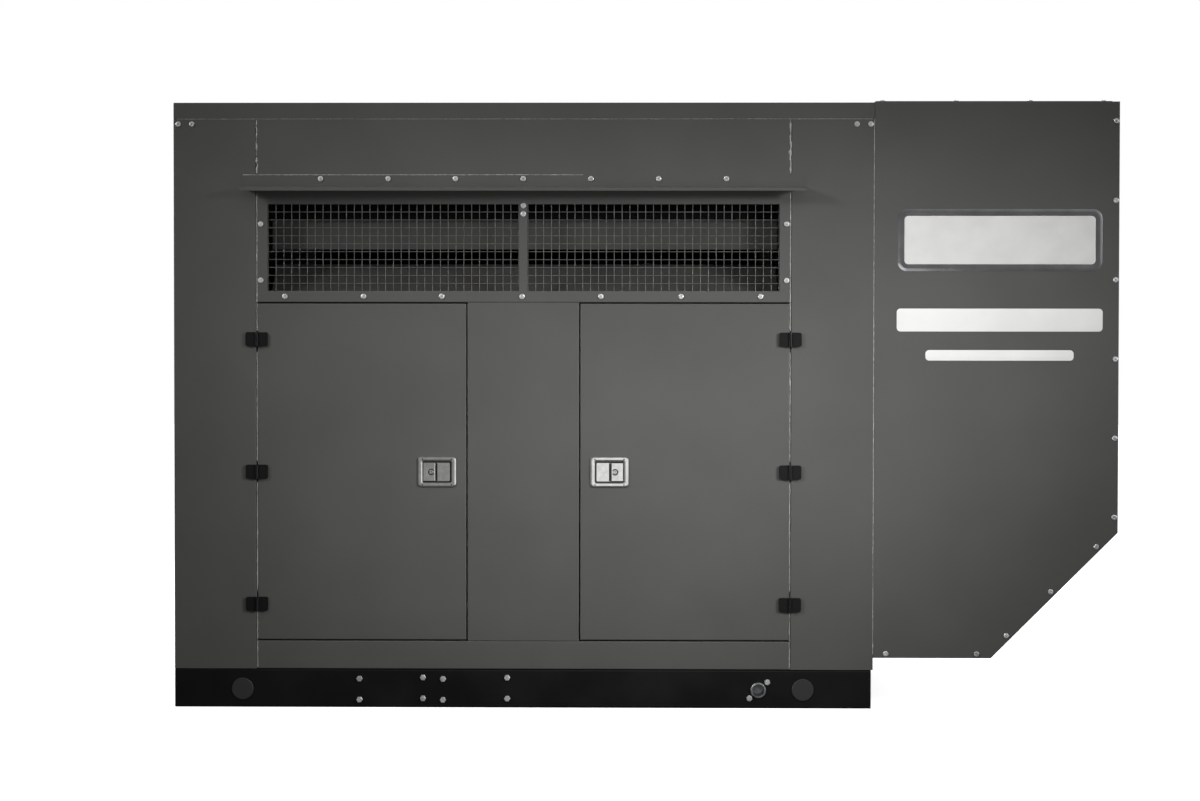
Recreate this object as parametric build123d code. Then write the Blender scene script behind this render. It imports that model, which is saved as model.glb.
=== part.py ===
"""Standby generator in a sheet-steel enclosure, with a discharge hood on its right end.

The set stands on two channel rails. Walls are folded steel trays bolted flange to flange, two doors
on the front open on block hinges, and screened intakes run along the top of both long walls.
Inside are a V8 gas engine, the generator it turns, a belt-driven fan, a radiator and the controls.
Axes: X runs along the enclosure towards the hood, Y from the front wall to the rear wall, Z up.
The origin is the middle of the whole footprint, on the ground. Millimetres.
"""

import os
from math import cos, pi, radians, sin

from build123d import *

# ---------------------------------------------------------------- driving dimensions
BODY_LENGTH = 2270.0
BODY_WIDTH = 1120.0
BODY_HEIGHT = 1964.0  # ground to roof
HOOD_LENGTH = 790.0
HOOD_TOP = 1967.0
HOOD_BOTTOM = 166.0
HOOD_CHAMFER = 408.0  # the sloped floor of the hood, measured along X and along Z

SHEET = 2.0  # wall and door steel
BEND = 1.0  # inside radius of every fold
FLANGE = 25.0  # depth of the folded edge of a wall tray

RAIL_HEIGHT = 127.0
RAIL_FLANGE = 50.0
RAIL_STEEL = 6.0
RAIL_BEND = 1.0
RAIL_INSET = 4.0  # rail web behind the wall face
RAIL_END_INSET = 6.0  # rail end short of the enclosure's right end

CORNER_WIDTH = 268.0
CORNER_RETURN = 60.0
ROOF_FASCIA = 53.0
SILL_HEIGHT = 91.0
DOOR_WIDTH = 678.0
DOOR_HEIGHT = 1092.0
DOOR_DEPTH = 28.0
DOOR_GAP = 4.0
SEAL_GAP = 0.3  # between a closed door's edge and its seal
END_PANEL_INSET = 6.0

MESH_PITCH = 25.4
MESH_WIRE = 3.0
MESH_COLUMNS = 32
MESH_ROWS = 11
MESH_LAP = 8.0  # mesh hidden behind the frame all round
DRAWN_COLUMNS = 8  # the wires that are drawn, one in four
DRAWN_ROWS = 4
GRILLE_BAR = 27.0
GRILLE_BOTTOM_BORDER = 36.0
GRILLE_TOP_BORDER = 53.0

LIP_OVERHANG = 43.0  # rain lip past each end of the grille frame
LIP_FLANGE = 38.0
LIP_REACH = 64.0
LIP_DROP = 8.0
LIP_HEM = 10.0  # upright edge of the rain lip
LIP_RISE = 3.0  # lip's fold above the top edge of the grille frame

SCREW_HEAD_RADIUS = 9.0
SCREW_HEAD_HEIGHT = 3.5
SCREW_RADIUS = 3.0
SCREW_LENGTH = 12.0
SCREW_SOCKET = 6.0
HOLE_CLEARANCE = 0.25
SCREW_EDGE = 12.0  # screw line to sheet edge

HINGE_SPACING = 430.0
HINGE_LEAF = 36.0
HINGE_HEIGHT = 46.0
HINGE_THICKNESS = 7.0
KNUCKLE_RADIUS = 6.0
HINGE_PIN_RADIUS = 3.0
RUNNING_CLEARANCE = 0.05
HINGE_CLEARANCE = 0.6

LATCH_WIDTH = 126.0
LATCH_HEIGHT = 100.0
LATCH_CORNER = 12.5
LATCH_FROM_EDGE = 95.0  # latch centre to the door's free edge
DISH_WIDTH = 98.0
DISH_HEIGHT = 70.0
DISH_DEPTH = 26.0
DISH_WALL = 1.5
PADDLE_WIDTH = 52.0
PADDLE_GAP = 1.0
PADDLE_THICKNESS = 3.0
LOCK_RADIUS = 7.0
BOLT_TRAVEL = 12.0
BOLT_SECTION = 12.0
BOLT_SHORT = 3.5  # bolt nose to the edge of the frame's lip

# generator set
CRANK_Z = 520.0
SHAFT_RADIUS = 35.0
GENERATOR_START = 560.0  # from the enclosure's left face
GENERATOR_LENGTH = 600.0
GENERATOR_RADIUS = 235.0
ROTOR_RADIUS = 145.0
AIR_GAP = 5.0
BELL_LENGTH = 140.0
BELL_RADIUS = 265.0
ENGINE_LENGTH = 580.0
FAN_DROP = 10.0  # fan below the middle of the radiator
FAN_RADIUS = 330.0
FAN_BLADES = 8
CRANK_PULLEY_RADIUS = 90.0
FAN_PULLEY_RADIUS = 80.0
PULLEY_WIDTH = 30.0
BELT_THICKNESS = 5.0
BELT_GAP = 0.3
RADIATOR_DEPTH = 90.0
RADIATOR_WIDTH = 860.0
RADIATOR_BOTTOM = 300.0
EXHAUST_RISE = 100.0  # exhaust pipe above the radiator
EXHAUST_RADIUS = 38.0
MUFFLER_RADIUS = 130.0
MUFFLER_LENGTH = 700.0

# rail fittings, measured from the left end of the rail
PLUG_INSET = 221.0
PLUG_RADIUS = 35.5
PLUG_HOLE_RADIUS = 31.0
PLUG_HEIGHT = 61.0
CROSS_BOLT_X = (602.0, 809.0, 874.0, 1083.0)
CROSS_BOLT_LOW = (26.0, 30.5, 26.0, 30.5)
CROSS_BOLT_PITCH = 68.0
FRONT_MOUNT_X = 1560.0
FUEL_X = 1899.0
FUEL_Z = 60.0
FUEL_OUTER_RADIUS = 24.5
FUEL_BORE_RADIUS = 20.0
FUEL_BOLT_CIRCLE = 39.0
ANCHOR_SPACING = 2000.0
ANCHOR_HOLE_RADIUS = 9.0

# ---------------------------------------------------------------- derived places
LENGTH = BODY_LENGTH + HOOD_LENGTH
LEFT = -LENGTH / 2
BODY_RIGHT = LEFT + BODY_LENGTH
RIGHT = LENGTH / 2
BODY_MIDDLE = LEFT + BODY_LENGTH / 2
FRONT = -BODY_WIDTH / 2
WALL_TOP = BODY_HEIGHT - ROOF_FASCIA
MODULE_LEFT = LEFT + CORNER_WIDTH
MODULE_RIGHT = BODY_RIGHT - CORNER_WIDTH
OPENING_WIDTH = DOOR_WIDTH + 2 * DOOR_GAP
OPENING_BOTTOM = RAIL_HEIGHT + SILL_HEIGHT
OPENING_TOP = OPENING_BOTTOM + DOOR_HEIGHT + 2 * DOOR_GAP
HINGE_MIDDLE = (OPENING_BOTTOM + OPENING_TOP) / 2
HINGE_Y = FRONT - HINGE_THICKNESS
MESH_WIDTH = MESH_COLUMNS * MESH_PITCH + MESH_WIRE
MESH_HEIGHT = MESH_ROWS * MESH_PITCH + MESH_WIRE
GRILLE_OPENING_BOTTOM = OPENING_TOP + GRILLE_BOTTOM_BORDER
GRILLE_TOP = GRILLE_OPENING_BOTTOM + MESH_HEIGHT + GRILLE_TOP_BORDER
RADIATOR_TOP = OPENING_TOP + SHEET
FAN_Z = (RADIATOR_BOTTOM + RADIATOR_TOP) / 2 - FAN_DROP
EXHAUST_Z = RADIATOR_TOP + EXHAUST_RISE
LIP_LENGTH = MODULE_RIGHT - MODULE_LEFT + 2 * LIP_OVERHANG
SEAL_SEAT = FRONT + DOOR_DEPTH + 20.0  # front face of the door frame's lip
LIP_WIDTH = 22.0  # door frame's lip, into the opening
SEAL_WIDTH = 14.0
FRAME_DEPTH = 24.0
RAIL_Y = FRONT + RAIL_INSET
RAIL_LENGTH = BODY_LENGTH - RAIL_END_INSET
RAIL_INNER = RAIL_Y + RAIL_FLANGE  # tips of the rail's flanges
GENERATOR_X = LEFT + GENERATOR_START
BELL_X = GENERATOR_X + GENERATOR_LENGTH
ENGINE_X = BELL_X + BELL_LENGTH
ENGINE_FRONT = ENGINE_X + ENGINE_LENGTH
PULLEY_X = ENGINE_FRONT + 30.0
RADIATOR_X = BODY_RIGHT - SHEET - RADIATOR_DEPTH


# ---------------------------------------------------------------- shared helpers
def block(x0, x1, y0, y1, z0, z1):
    """A box between two corners."""
    return Pos((x0 + x1) / 2, (y0 + y1) / 2, (z0 + z1) / 2) * Box(x1 - x0, y1 - y0, z1 - z0)


def rear_of(shape):
    """The same piece on the rear wall."""
    return mirror(shape, about=Plane.XZ)


def right_of(shape):
    """The same piece at the other end of the enclosure."""
    return mirror(shape, about=Plane.YZ.offset(BODY_MIDDLE))


def sheet_section(path, thickness=SHEET, radius=BEND):
    """Face of a folded strip that lies on the left side of its outer line, with round bends."""
    count = len(path)
    normals = []
    for (ax, ay), (bx, by) in zip(path, path[1:]):
        length = ((bx - ax) ** 2 + (by - ay) ** 2) ** 0.5
        normals.append(((ay - by) / length, (bx - ax) / length))
    inner, bends = [], []
    for i, (x, y) in enumerate(path):
        (mx, my), (nx, ny) = normals[max(i - 1, 0)], normals[min(i, count - 2)]
        reach = thickness / (1 + mx * nx + my * ny)
        inner.append((x + (mx + nx) * reach, y + (my + ny) * reach))
        if 0 < i < count - 1:
            turns_left = mx * ny - my * nx > 0
            bends.append((path[i], radius + thickness * turns_left))
            bends.append((inner[i], radius + thickness * (not turns_left)))
    section = Polygon(*path, *reversed(inner), align=None)
    for (x, y), bend in bends:
        section = fillet(section.vertices().sort_by_distance((x, y, 0))[0], bend)
    return section


def tray(x0, x1, z0, z1, depth=FLANGE):
    """Folded tray in the front wall: its face is in the wall's plane and its edges turn inwards."""
    shell = block(x0, x1, FRONT, FRONT + depth, z0, z1)
    shell = fillet(shell.faces().sort_by(Axis.Y)[0].edges(), BEND + SHEET)
    hollow = block(x0 + SHEET, x1 - SHEET, FRONT + SHEET, FRONT + depth + 1, z0 + SHEET, z1 - SHEET)
    hollow = fillet(hollow.faces().sort_by(Axis.Y)[0].edges(), BEND)
    return shell - hollow


def wire_mesh(width, height, columns, rows):
    """Crossed wires in the XY plane, centred: uprights on the Z = 0 side, cross wires on top of them."""
    half = MESH_WIRE / 2
    wires = []
    for i in range(columns + 1):
        x = (i / columns - 0.5) * (width - MESH_WIRE)
        wires.append(Pos(x, 0, half / 2) * Box(MESH_WIRE, height + 2 * MESH_LAP, half))
    for j in range(rows + 1):
        y = (j / rows - 0.5) * (height - MESH_WIRE)
        wires.append(Pos(0, y, half * 1.5) * Box(width + 2 * MESH_LAP, MESH_WIRE, half))
    return wires


def on_front(x, z, y=FRONT):
    """Place on the front wall with its own Z pointing out of the wall."""
    return Plane(origin=(x, y, z), x_dir=(1, 0, 0), z_dir=(0, -1, 0)).location


def holes_at(places, radius=SCREW_RADIUS + HOLE_CLEARANCE, depth=60.0):
    """Drills, centred on each place."""
    return [place * Cylinder(radius, depth) for place in places]


def tube_along(points, bend_radius, outer, inner=0.0):
    """Pipe through the points, with round bends."""
    path = FilletPolyline(*points, radius=bend_radius) if len(points) > 2 else Line(*points)
    start = Plane(origin=path @ 0, z_dir=path % 0)
    ring = Circle(outer) - Circle(inner) if inner else Circle(outer)
    return sweep(start * ring, path=path)


def round_bar(x0, x1, radius, y=0.0, z=CRANK_Z):
    """Cylinder along X."""
    return Pos((x0 + x1) / 2, y, z) * Rot(0, 90, 0) * Cylinder(radius, x1 - x0)


def solids_of(*shapes):
    """Every separate solid of the shapes, as one group."""
    return Compound(children=[solid for shape in shapes for solid in shape.solids()])


# ---------------------------------------------------------------- base: rails and cross members
rail_path = [(RAIL_INNER, RAIL_HEIGHT), (RAIL_Y, RAIL_HEIGHT), (RAIL_Y, 0), (RAIL_INNER, 0)]
rail = Pos(LEFT, 0, 0) * extrude(Plane.YZ * sheet_section(rail_path, RAIL_STEEL, RAIL_BEND), RAIL_LENGTH)
plug_places = [on_front(LEFT + x, PLUG_HEIGHT, RAIL_Y) for x in (PLUG_INSET, RAIL_LENGTH - PLUG_INSET)]
cross_bolt_places = []
for bolt_x, low in zip(CROSS_BOLT_X, CROSS_BOLT_LOW):
    for bolt_z in (low, low + CROSS_BOLT_PITCH):
        cross_bolt_places.append(on_front(LEFT + bolt_x, bolt_z, RAIL_Y))
fuel_place = on_front(LEFT + FUEL_X, FUEL_Z, RAIL_Y)
fuel_bolt_places = [fuel_place * Rot(0, 0, turn) * Pos(FUEL_BOLT_CIRCLE, 0, 0) for turn in (42, 222)]
anchor_y = RAIL_Y + RAIL_FLANGE / 2
anchor_holes = [
    Pos(BODY_MIDDLE + side * ANCHOR_SPACING / 2, anchor_y, 0) * Cylinder(ANCHOR_HOLE_RADIUS, 40)
    for side in (-1, 1)
]
rail -= holes_at(plug_places, PLUG_HOLE_RADIUS, 40) + anchor_holes
rail -= holes_at(cross_bolt_places, 6 + HOLE_CLEARANCE, 40)
base_rear_rail = rear_of(rail)
base_front_rail = rail - fuel_place * Cylinder(FUEL_OUTER_RADIUS + HOLE_CLEARANCE, 40)
base_front_rail -= holes_at(fuel_bolt_places, 6 + HOLE_CLEARANCE, 40)

end_path = [(LEFT + RAIL_FLANGE, RAIL_HEIGHT), (LEFT, RAIL_HEIGHT), (LEFT, 0), (LEFT + RAIL_FLANGE, 0)]
end_section = sheet_section(end_path, RAIL_STEEL, RAIL_BEND)
end_channel = Pos(0, -RAIL_INNER, 0) * extrude(Plane.XZ * end_section, -2 * RAIL_INNER)
far_channel = mirror(end_channel, about=Plane.YZ.offset(LEFT + RAIL_LENGTH / 2))
base_end_channels = solids_of(end_channel, far_channel)

member_middles = [
    (CROSS_BOLT_X[0] + CROSS_BOLT_X[1]) / 2,
    (CROSS_BOLT_X[2] + CROSS_BOLT_X[3]) / 2,
    FRONT_MOUNT_X,
]
MEMBER_HALF = 125.0
MEMBER_TOP = RAIL_HEIGHT - RAIL_STEEL
web_inside = RAIL_Y + RAIL_STEEL
members = []
for middle in member_middles:
    x0 = LEFT + middle - MEMBER_HALF
    x1 = LEFT + middle + MEMBER_HALF
    half = -web_inside - RAIL_STEEL
    member = block(x0, x1, -half, half, 20, MEMBER_TOP)
    member -= block(x0 + RAIL_STEEL, x1 - RAIL_STEEL, -half, half, 0, MEMBER_TOP - RAIL_STEEL)
    end_plate = block(x0, x1, web_inside, -half, 13, 114)
    member += end_plate + rear_of(end_plate)
    drills = holes_at(cross_bolt_places, 6 + HOLE_CLEARANCE, 50)
    members.append(member - drills - [rear_of(drill) for drill in drills])
base_cross_members = solids_of(*members)

plug = Cylinder(PLUG_RADIUS, RAIL_INSET, align=(Align.CENTER, Align.CENTER, Align.MIN))
plug = fillet(plug.edges().group_by(Axis.Z)[-1], 2)
plug += Pos(0, 0, -5) * Cylinder(PLUG_HOLE_RADIUS - HOLE_CLEARANCE, 10)
plugs = [place * plug for place in plug_places]
lifting_hole_plugs = solids_of(*plugs, *[rear_of(one) for one in plugs])


def bolt_and_nut(grip):
    """Hex bolt through a stack of the given thickness, with its nut behind."""
    head = chamfer(extrude(RegularPolygon(10, 6), 6).edges().group_by(Axis.Z)[-1], 0.8)
    shank = Pos(0, 0, -grip / 2 - 4) * Cylinder(6, grip + 8)
    return head + shank + Pos(0, 0, -grip - 6) * extrude(RegularPolygon(10, 6), 6)


cross_bolts = [place * bolt_and_nut(2 * RAIL_STEEL) for place in cross_bolt_places]
fuel_bolts = [place * bolt_and_nut(RAIL_STEEL + 8) for place in fuel_bolt_places]
base_bolts = solids_of(*cross_bolts, *[rear_of(bolt) for bolt in cross_bolts], *fuel_bolts)

coupling = Pos(0, 0, -25) * Cylinder(FUEL_OUTER_RADIUS, 66)
coupling = chamfer(coupling.edges().group_by(Axis.Z)[-1], 1.5)
fuel_flange = Pos(0, 0, -RAIL_STEEL - 4) * Box(96, 90, 8)
coupling += fuel_flange
coupling -= Pos(0, 0, -25) * Cylinder(FUEL_BORE_RADIUS, 80)
coupling -= [Rot(0, 0, turn) * Pos(FUEL_BOLT_CIRCLE, 0, 0) * Cylinder(6.25, 60) for turn in (42, 222)]
fuel_inlet = fuel_place * coupling

ISOLATOR_TOP = 181.0
FOOT_Y = 270.0
isolators = []
for middle in member_middles:
    for side in (-1, 1):
        isolator = Cylinder(32, ISOLATOR_TOP - MEMBER_TOP)
        isolator += Pos(0, 0, 3 - (ISOLATOR_TOP - MEMBER_TOP) / 2) * Cylinder(45, 6)
        isolators.append(Pos(LEFT + middle, side * FOOT_Y, (ISOLATOR_TOP + MEMBER_TOP) / 2) * isolator)
vibration_isolators = solids_of(*isolators)

# ---------------------------------------------------------------- screws that hold the panels
bottom_row = [(LEFT + x, OPENING_TOP + 19) for x in (362, 617, 871, 1131, 1386, 1646, 1903)]
side_rows = [
    (x, GRILLE_OPENING_BOTTOM + z) for x in (MODULE_LEFT + 15, MODULE_RIGHT - 15) for z in (35, 217)
]
bar_screws = [(BODY_MIDDLE, GRILLE_OPENING_BOTTOM + z) for z in (250, 277)]
grille_screws = bottom_row + side_rows + bar_screws
LIP_SCREW_Z = GRILLE_TOP + LIP_RISE + 25
lip_screws = [(BODY_MIDDLE + (i - 3) * 219, LIP_SCREW_Z) for i in range(7)]
corner_screws = [(LEFT + x, WALL_TOP - 17) for x in (16, 60, BODY_LENGTH - 57, BODY_LENGTH - 12)]
edge_column = [(RIGHT - SCREW_EDGE, 624 + 256 * i) for i in range(6)]
SLOPE_FOOT = RIGHT - HOOD_CHAMFER
slope_screws = [
    (SLOPE_FOOT + share * HOOD_CHAMFER - 12, HOOD_BOTTOM + share * HOOD_CHAMFER + 12)
    for share in (0.15, 0.5, 0.86)
]
hood_bottom_screws = [(BODY_RIGHT + x, HOOD_BOTTOM + SCREW_EDGE + 2) for x in (41, 335)]
hood_screws = edge_column + slope_screws + hood_bottom_screws
service_screws = []
for panel_x in (MODULE_LEFT, MODULE_RIGHT - OPENING_WIDTH):
    for i in range(3):
        for j in range(5):
            if i in (0, 2) or j in (0, 4):
                across = panel_x + 14 + i * (OPENING_WIDTH - 28) / 2
                service_screws.append((across, OPENING_BOTTOM + 14 + j * (OPENING_TOP - OPENING_BOTTOM - 28) / 4))

screw = Pos(0, 0, SCREW_HEAD_HEIGHT / 2) * Cylinder(SCREW_HEAD_RADIUS, SCREW_HEAD_HEIGHT)
screw = fillet(screw.edges().group_by(Axis.Z)[-1], SCREW_HEAD_HEIGHT - 0.6)
screw += Pos(0, 0, -SCREW_LENGTH / 2) * Cylinder(SCREW_RADIUS, SCREW_LENGTH)
screw -= extrude(RegularPolygon(SCREW_SOCKET / 2, 6), SCREW_HEAD_HEIGHT)

both_walls = grille_screws + corner_screws + hood_screws
front_screws = [on_front(*place) for place in both_walls]
lip_places = [on_front(x, z, FRONT - SHEET) for x, z in lip_screws]
rear_only = [on_front(*place) for place in service_screws]
DISCHARGE_LEFT = BODY_RIGHT + 4
DISCHARGE_RIGHT = RIGHT - 24
top_screw_x = [BODY_RIGHT + 27 + 238 * i for i in range(4)]
top_places = [Pos(x, FRONT + 17, HOOD_TOP + SHEET) for x in top_screw_x]
front_set = [place * screw for place in front_screws + lip_places + top_places]
rear_set = [rear_of(one) for one in front_set] + [rear_of(place * screw) for place in rear_only]
enclosure_screws = solids_of(*front_set, *rear_set)


def drills_for(*groups):
    """Screw holes through the front wall."""
    return holes_at([on_front(*place) for group in groups for place in group])


# ---------------------------------------------------------------- enclosure walls
inner = FRONT + CORNER_RETURN
corner_path = [
    (LEFT + FLANGE, inner),
    (LEFT, inner),
    (LEFT, FRONT),
    (MODULE_LEFT, FRONT),
    (MODULE_LEFT, FRONT + FLANGE),
]
corner = Pos(0, 0, RAIL_HEIGHT) * extrude(sheet_section(corner_path), WALL_TOP - RAIL_HEIGHT)
corner_top = block(LEFT + 4, MODULE_LEFT - SHEET, FRONT + SHEET, FRONT + FLANGE, WALL_TOP - SHEET, WALL_TOP)
corner += corner_top
left_corner = corner - drills_for(corner_screws)
right_corner = right_of(corner) - drills_for(corner_screws)
front_corner_panels = solids_of(left_corner, right_corner)
rear_corner_panels = solids_of(rear_of(left_corner), rear_of(right_corner))

end_x = LEFT + END_PANEL_INSET
end_tray = block(end_x, end_x + FLANGE, inner, -inner, RAIL_HEIGHT, WALL_TOP)
end_tray = fillet(end_tray.faces().sort_by(Axis.X)[0].edges(), BEND + SHEET)
end_hollow = block(end_x + SHEET, end_x + 30, inner + SHEET, -inner - SHEET, RAIL_HEIGHT + SHEET, WALL_TOP - SHEET)
left_end_panel = end_tray - fillet(end_hollow.faces().sort_by(Axis.X)[0].edges(), BEND)

bulkhead = block(BODY_RIGHT - FLANGE, BODY_RIGHT, inner, -inner, RAIL_HEIGHT, WALL_TOP)
bulkhead -= block(BODY_RIGHT - 30, BODY_RIGHT - SHEET, inner + SHEET, -inner - SHEET, RAIL_HEIGHT + SHEET, WALL_TOP - SHEET)
core_half = RADIATOR_WIDTH / 2 - 40
bulkhead -= block(BODY_RIGHT - 5, BODY_RIGHT + 1, -core_half, core_half, RADIATOR_BOTTOM + 60, RADIATOR_TOP - 60)
radiator_bulkhead = bulkhead - round_bar(BODY_RIGHT - 5, BODY_RIGHT + 1, EXHAUST_RADIUS + 12, 0, EXHAUST_Z)

upper = tray(MODULE_LEFT, MODULE_RIGHT, GRILLE_TOP, WALL_TOP) - drills_for(lip_screws)
front_upper_panel = upper
rear_upper_panel = rear_of(upper)

sill = tray(MODULE_LEFT, MODULE_RIGHT, RAIL_HEIGHT, OPENING_BOTTOM)
sill_panels = solids_of(sill, rear_of(sill))

centre = tray(MODULE_LEFT + OPENING_WIDTH, MODULE_RIGHT - OPENING_WIDTH, OPENING_BOTTOM, OPENING_TOP)
centre_panels = solids_of(centre, rear_of(centre))

service = tray(MODULE_LEFT, MODULE_LEFT + OPENING_WIDTH, OPENING_BOTTOM, OPENING_TOP)
service_pair = [service - drills_for(service_screws), right_of(service) - drills_for(service_screws)]
rear_service_panels = solids_of(*[rear_of(panel) for panel in service_pair])

# ---------------------------------------------------------------- screened intakes and rain lips
grille_left = BODY_MIDDLE - GRILLE_BAR / 2 - MESH_WIDTH
grille_frame = tray(MODULE_LEFT, MODULE_RIGHT, OPENING_TOP, GRILLE_TOP)
mesh_z = GRILLE_OPENING_BOTTOM + MESH_HEIGHT / 2
mesh = wire_mesh(MESH_WIDTH, MESH_HEIGHT, DRAWN_COLUMNS, DRAWN_ROWS)
meshes = []
for x0 in (grille_left, BODY_MIDDLE + GRILLE_BAR / 2):
    z0 = GRILLE_OPENING_BOTTOM
    grille_frame -= block(x0, x0 + MESH_WIDTH, FRONT - 1, FRONT + 5, z0, z0 + MESH_HEIGHT)
    mesh_place = on_front(x0 + MESH_WIDTH / 2, mesh_z, FRONT + SHEET) * Rot(0, 180, 0)
    meshes.extend(mesh_place * wire for wire in mesh)
grille_frame -= drills_for(grille_screws)
grille_frames = solids_of(grille_frame, rear_of(grille_frame))
grille_meshes = solids_of(*meshes, *[rear_of(one) for one in meshes])

lip_z = GRILLE_TOP + LIP_RISE
lip_path = [
    (FRONT - SHEET, lip_z + LIP_FLANGE),
    (FRONT - SHEET, lip_z),
    (FRONT - SHEET - LIP_REACH, lip_z - LIP_DROP),
    (FRONT - SHEET - LIP_REACH, lip_z - LIP_DROP - LIP_HEM),
]
lip = extrude(Plane.YZ * sheet_section(lip_path), LIP_LENGTH)
lip = Pos(BODY_MIDDLE - LIP_LENGTH / 2, 0, 0) * lip - drills_for(lip_screws)
rain_lips = solids_of(lip, rear_of(lip))

BAFFLE_DEPTH = 190.0
BAFFLE_RISE = 129.0  # sloped baffle above the doors
HANGING_RISE = 176.0  # lower edge of the hanging baffle above the doors
frame_floor = OPENING_TOP + SHEET
lower_path = [
    (FRONT + BAFFLE_DEPTH + 20, OPENING_TOP + BAFFLE_RISE),
    (FRONT + BAFFLE_DEPTH, OPENING_TOP + BAFFLE_RISE),
    (FRONT + FLANGE, frame_floor),
    (FRONT + 8, frame_floor),
]
upper_path = [
    (FRONT + 8, GRILLE_TOP - SHEET),
    (FRONT + 90, GRILLE_TOP - SHEET),
    (FRONT + 90, OPENING_TOP + HANGING_RISE),
]
BAFFLE_INSET = 40.0
baffle_length = MODULE_RIGHT - MODULE_LEFT - 2 * BAFFLE_INSET
baffles = []
for path in (lower_path, upper_path):
    section = sheet_section([(y, z) for y, z in reversed(path)])
    baffles.append(Pos(MODULE_LEFT + BAFFLE_INSET, 0, 0) * extrude(Plane.YZ * section, baffle_length))
intake_baffles = solids_of(*baffles, *[rear_of(one) for one in baffles])

# ---------------------------------------------------------------- roof
ROOF_FLANGE = 20.0
roof = block(LEFT, BODY_RIGHT, FRONT, -FRONT, WALL_TOP, BODY_HEIGHT)
roof = fillet(roof.edges(), BEND + SHEET)
roof -= block(
    LEFT + SHEET, BODY_RIGHT - SHEET, FRONT + SHEET, -FRONT - SHEET, WALL_TOP + SHEET, BODY_HEIGHT - SHEET
)
reach = SHEET + ROOF_FLANGE
roof_panel = roof - block(
    LEFT + reach, BODY_RIGHT - reach, FRONT + reach, -FRONT - reach, WALL_TOP - 1, WALL_TOP + 5
)

# ---------------------------------------------------------------- door frames and seals
seat_y0 = FRONT + FLANGE


def opening_ring(outset, inset, y0, y1):
    """Rectangular ring around the left front opening."""
    x0, x1 = MODULE_LEFT, MODULE_LEFT + OPENING_WIDTH
    ring = block(x0 - outset, x1 + outset, y0, y1, OPENING_BOTTOM - outset, OPENING_TOP + outset)
    return ring - block(x0 + inset, x1 - inset, y0 - 1, y1 + 1, OPENING_BOTTOM + inset, OPENING_TOP - inset)


door_frame = opening_ring(SHEET, 0, seat_y0, SEAL_SEAT) + opening_ring(
    SHEET, LIP_WIDTH, SEAL_SEAT, SEAL_SEAT + SHEET
)
door_frames = solids_of(door_frame, right_of(door_frame))
seal = opening_ring(0, SEAL_WIDTH, FRONT + DOOR_DEPTH + SEAL_GAP, SEAL_SEAT)
door_seals = solids_of(seal, right_of(seal))

# ---------------------------------------------------------------- doors on block hinges
hinge_levels = [HINGE_MIDDLE + step * HINGE_SPACING for step in (-1, 0, 1)]
hinge_x = MODULE_LEFT + DOOR_GAP / 2
third = HINGE_HEIGHT / 3


def barrel(radius, z0, z1):
    """Upright cylinder on the hinge line."""
    return Pos(hinge_x, HINGE_Y, (z0 + z1) / 2) * Cylinder(radius, z1 - z0)


def hinge_leaf(side, middle):
    """One leaf: side -1 holds the outer knuckles and the pin, side 1 the middle knuckle."""
    bottom, top = middle - HINGE_HEIGHT / 2, middle + HINGE_HEIGHT / 2
    x0, x1 = sorted((hinge_x + side * 1.0, hinge_x + side * HINGE_LEAF))
    leaf = block(x0, x1, HINGE_Y, FRONT, bottom, top)
    outer_edges = leaf.edges().filter_by(Axis.Y).sort_by(Axis.X)
    leaf = fillet(outer_edges[:2] if side < 0 else outer_edges[-2:], 7)
    ends = [(bottom, bottom + third), (top - third, top)]
    mid = [(bottom + third, top - third)]
    own, other = (ends, mid) if side < 0 else (mid, ends)
    for z0, z1 in other:
        leaf -= barrel(KNUCKLE_RADIUS + HINGE_CLEARANCE, z0 - HINGE_CLEARANCE / 2, z1 + HINGE_CLEARANCE / 2)
    for z0, z1 in own:
        low = z0 + HINGE_CLEARANCE / 2 if z0 > bottom else z0
        high = z1 - HINGE_CLEARANCE / 2 if z1 < top else z1
        leaf += barrel(KNUCKLE_RADIUS, low, high)
    if side < 0:
        return leaf + barrel(HINGE_PIN_RADIUS, bottom, top)
    return leaf - barrel(HINGE_PIN_RADIUS + RUNNING_CLEARANCE, bottom - 1, top + 1)


fixed_leaves = [hinge_leaf(-1, level) for level in hinge_levels]
hinge_frame_leaves = solids_of(*fixed_leaves, *[right_of(leaf) for leaf in fixed_leaves])
moving_leaves = [hinge_leaf(1, level) for level in hinge_levels]
left_door_hinge_leaves = solids_of(*moving_leaves)
right_door_hinge_leaves = solids_of(*[right_of(leaf) for leaf in moving_leaves])

door_x0 = MODULE_LEFT + DOOR_GAP
door_x1 = door_x0 + DOOR_WIDTH
door = tray(door_x0, door_x1, OPENING_BOTTOM + DOOR_GAP, OPENING_TOP - DOOR_GAP, DOOR_DEPTH)
latch_x = door_x1 - LATCH_FROM_EDGE
latch_z = HINGE_MIDDLE
half_w = DISH_WIDTH / 2
half_h = DISH_HEIGHT / 2
left_door = door - block(
    latch_x - half_w - 0.5, latch_x + half_w + 0.5, FRONT - 1, FRONT + 5, latch_z - half_h - 0.5, latch_z + half_h + 0.5
)
right_door = right_of(left_door)

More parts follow.
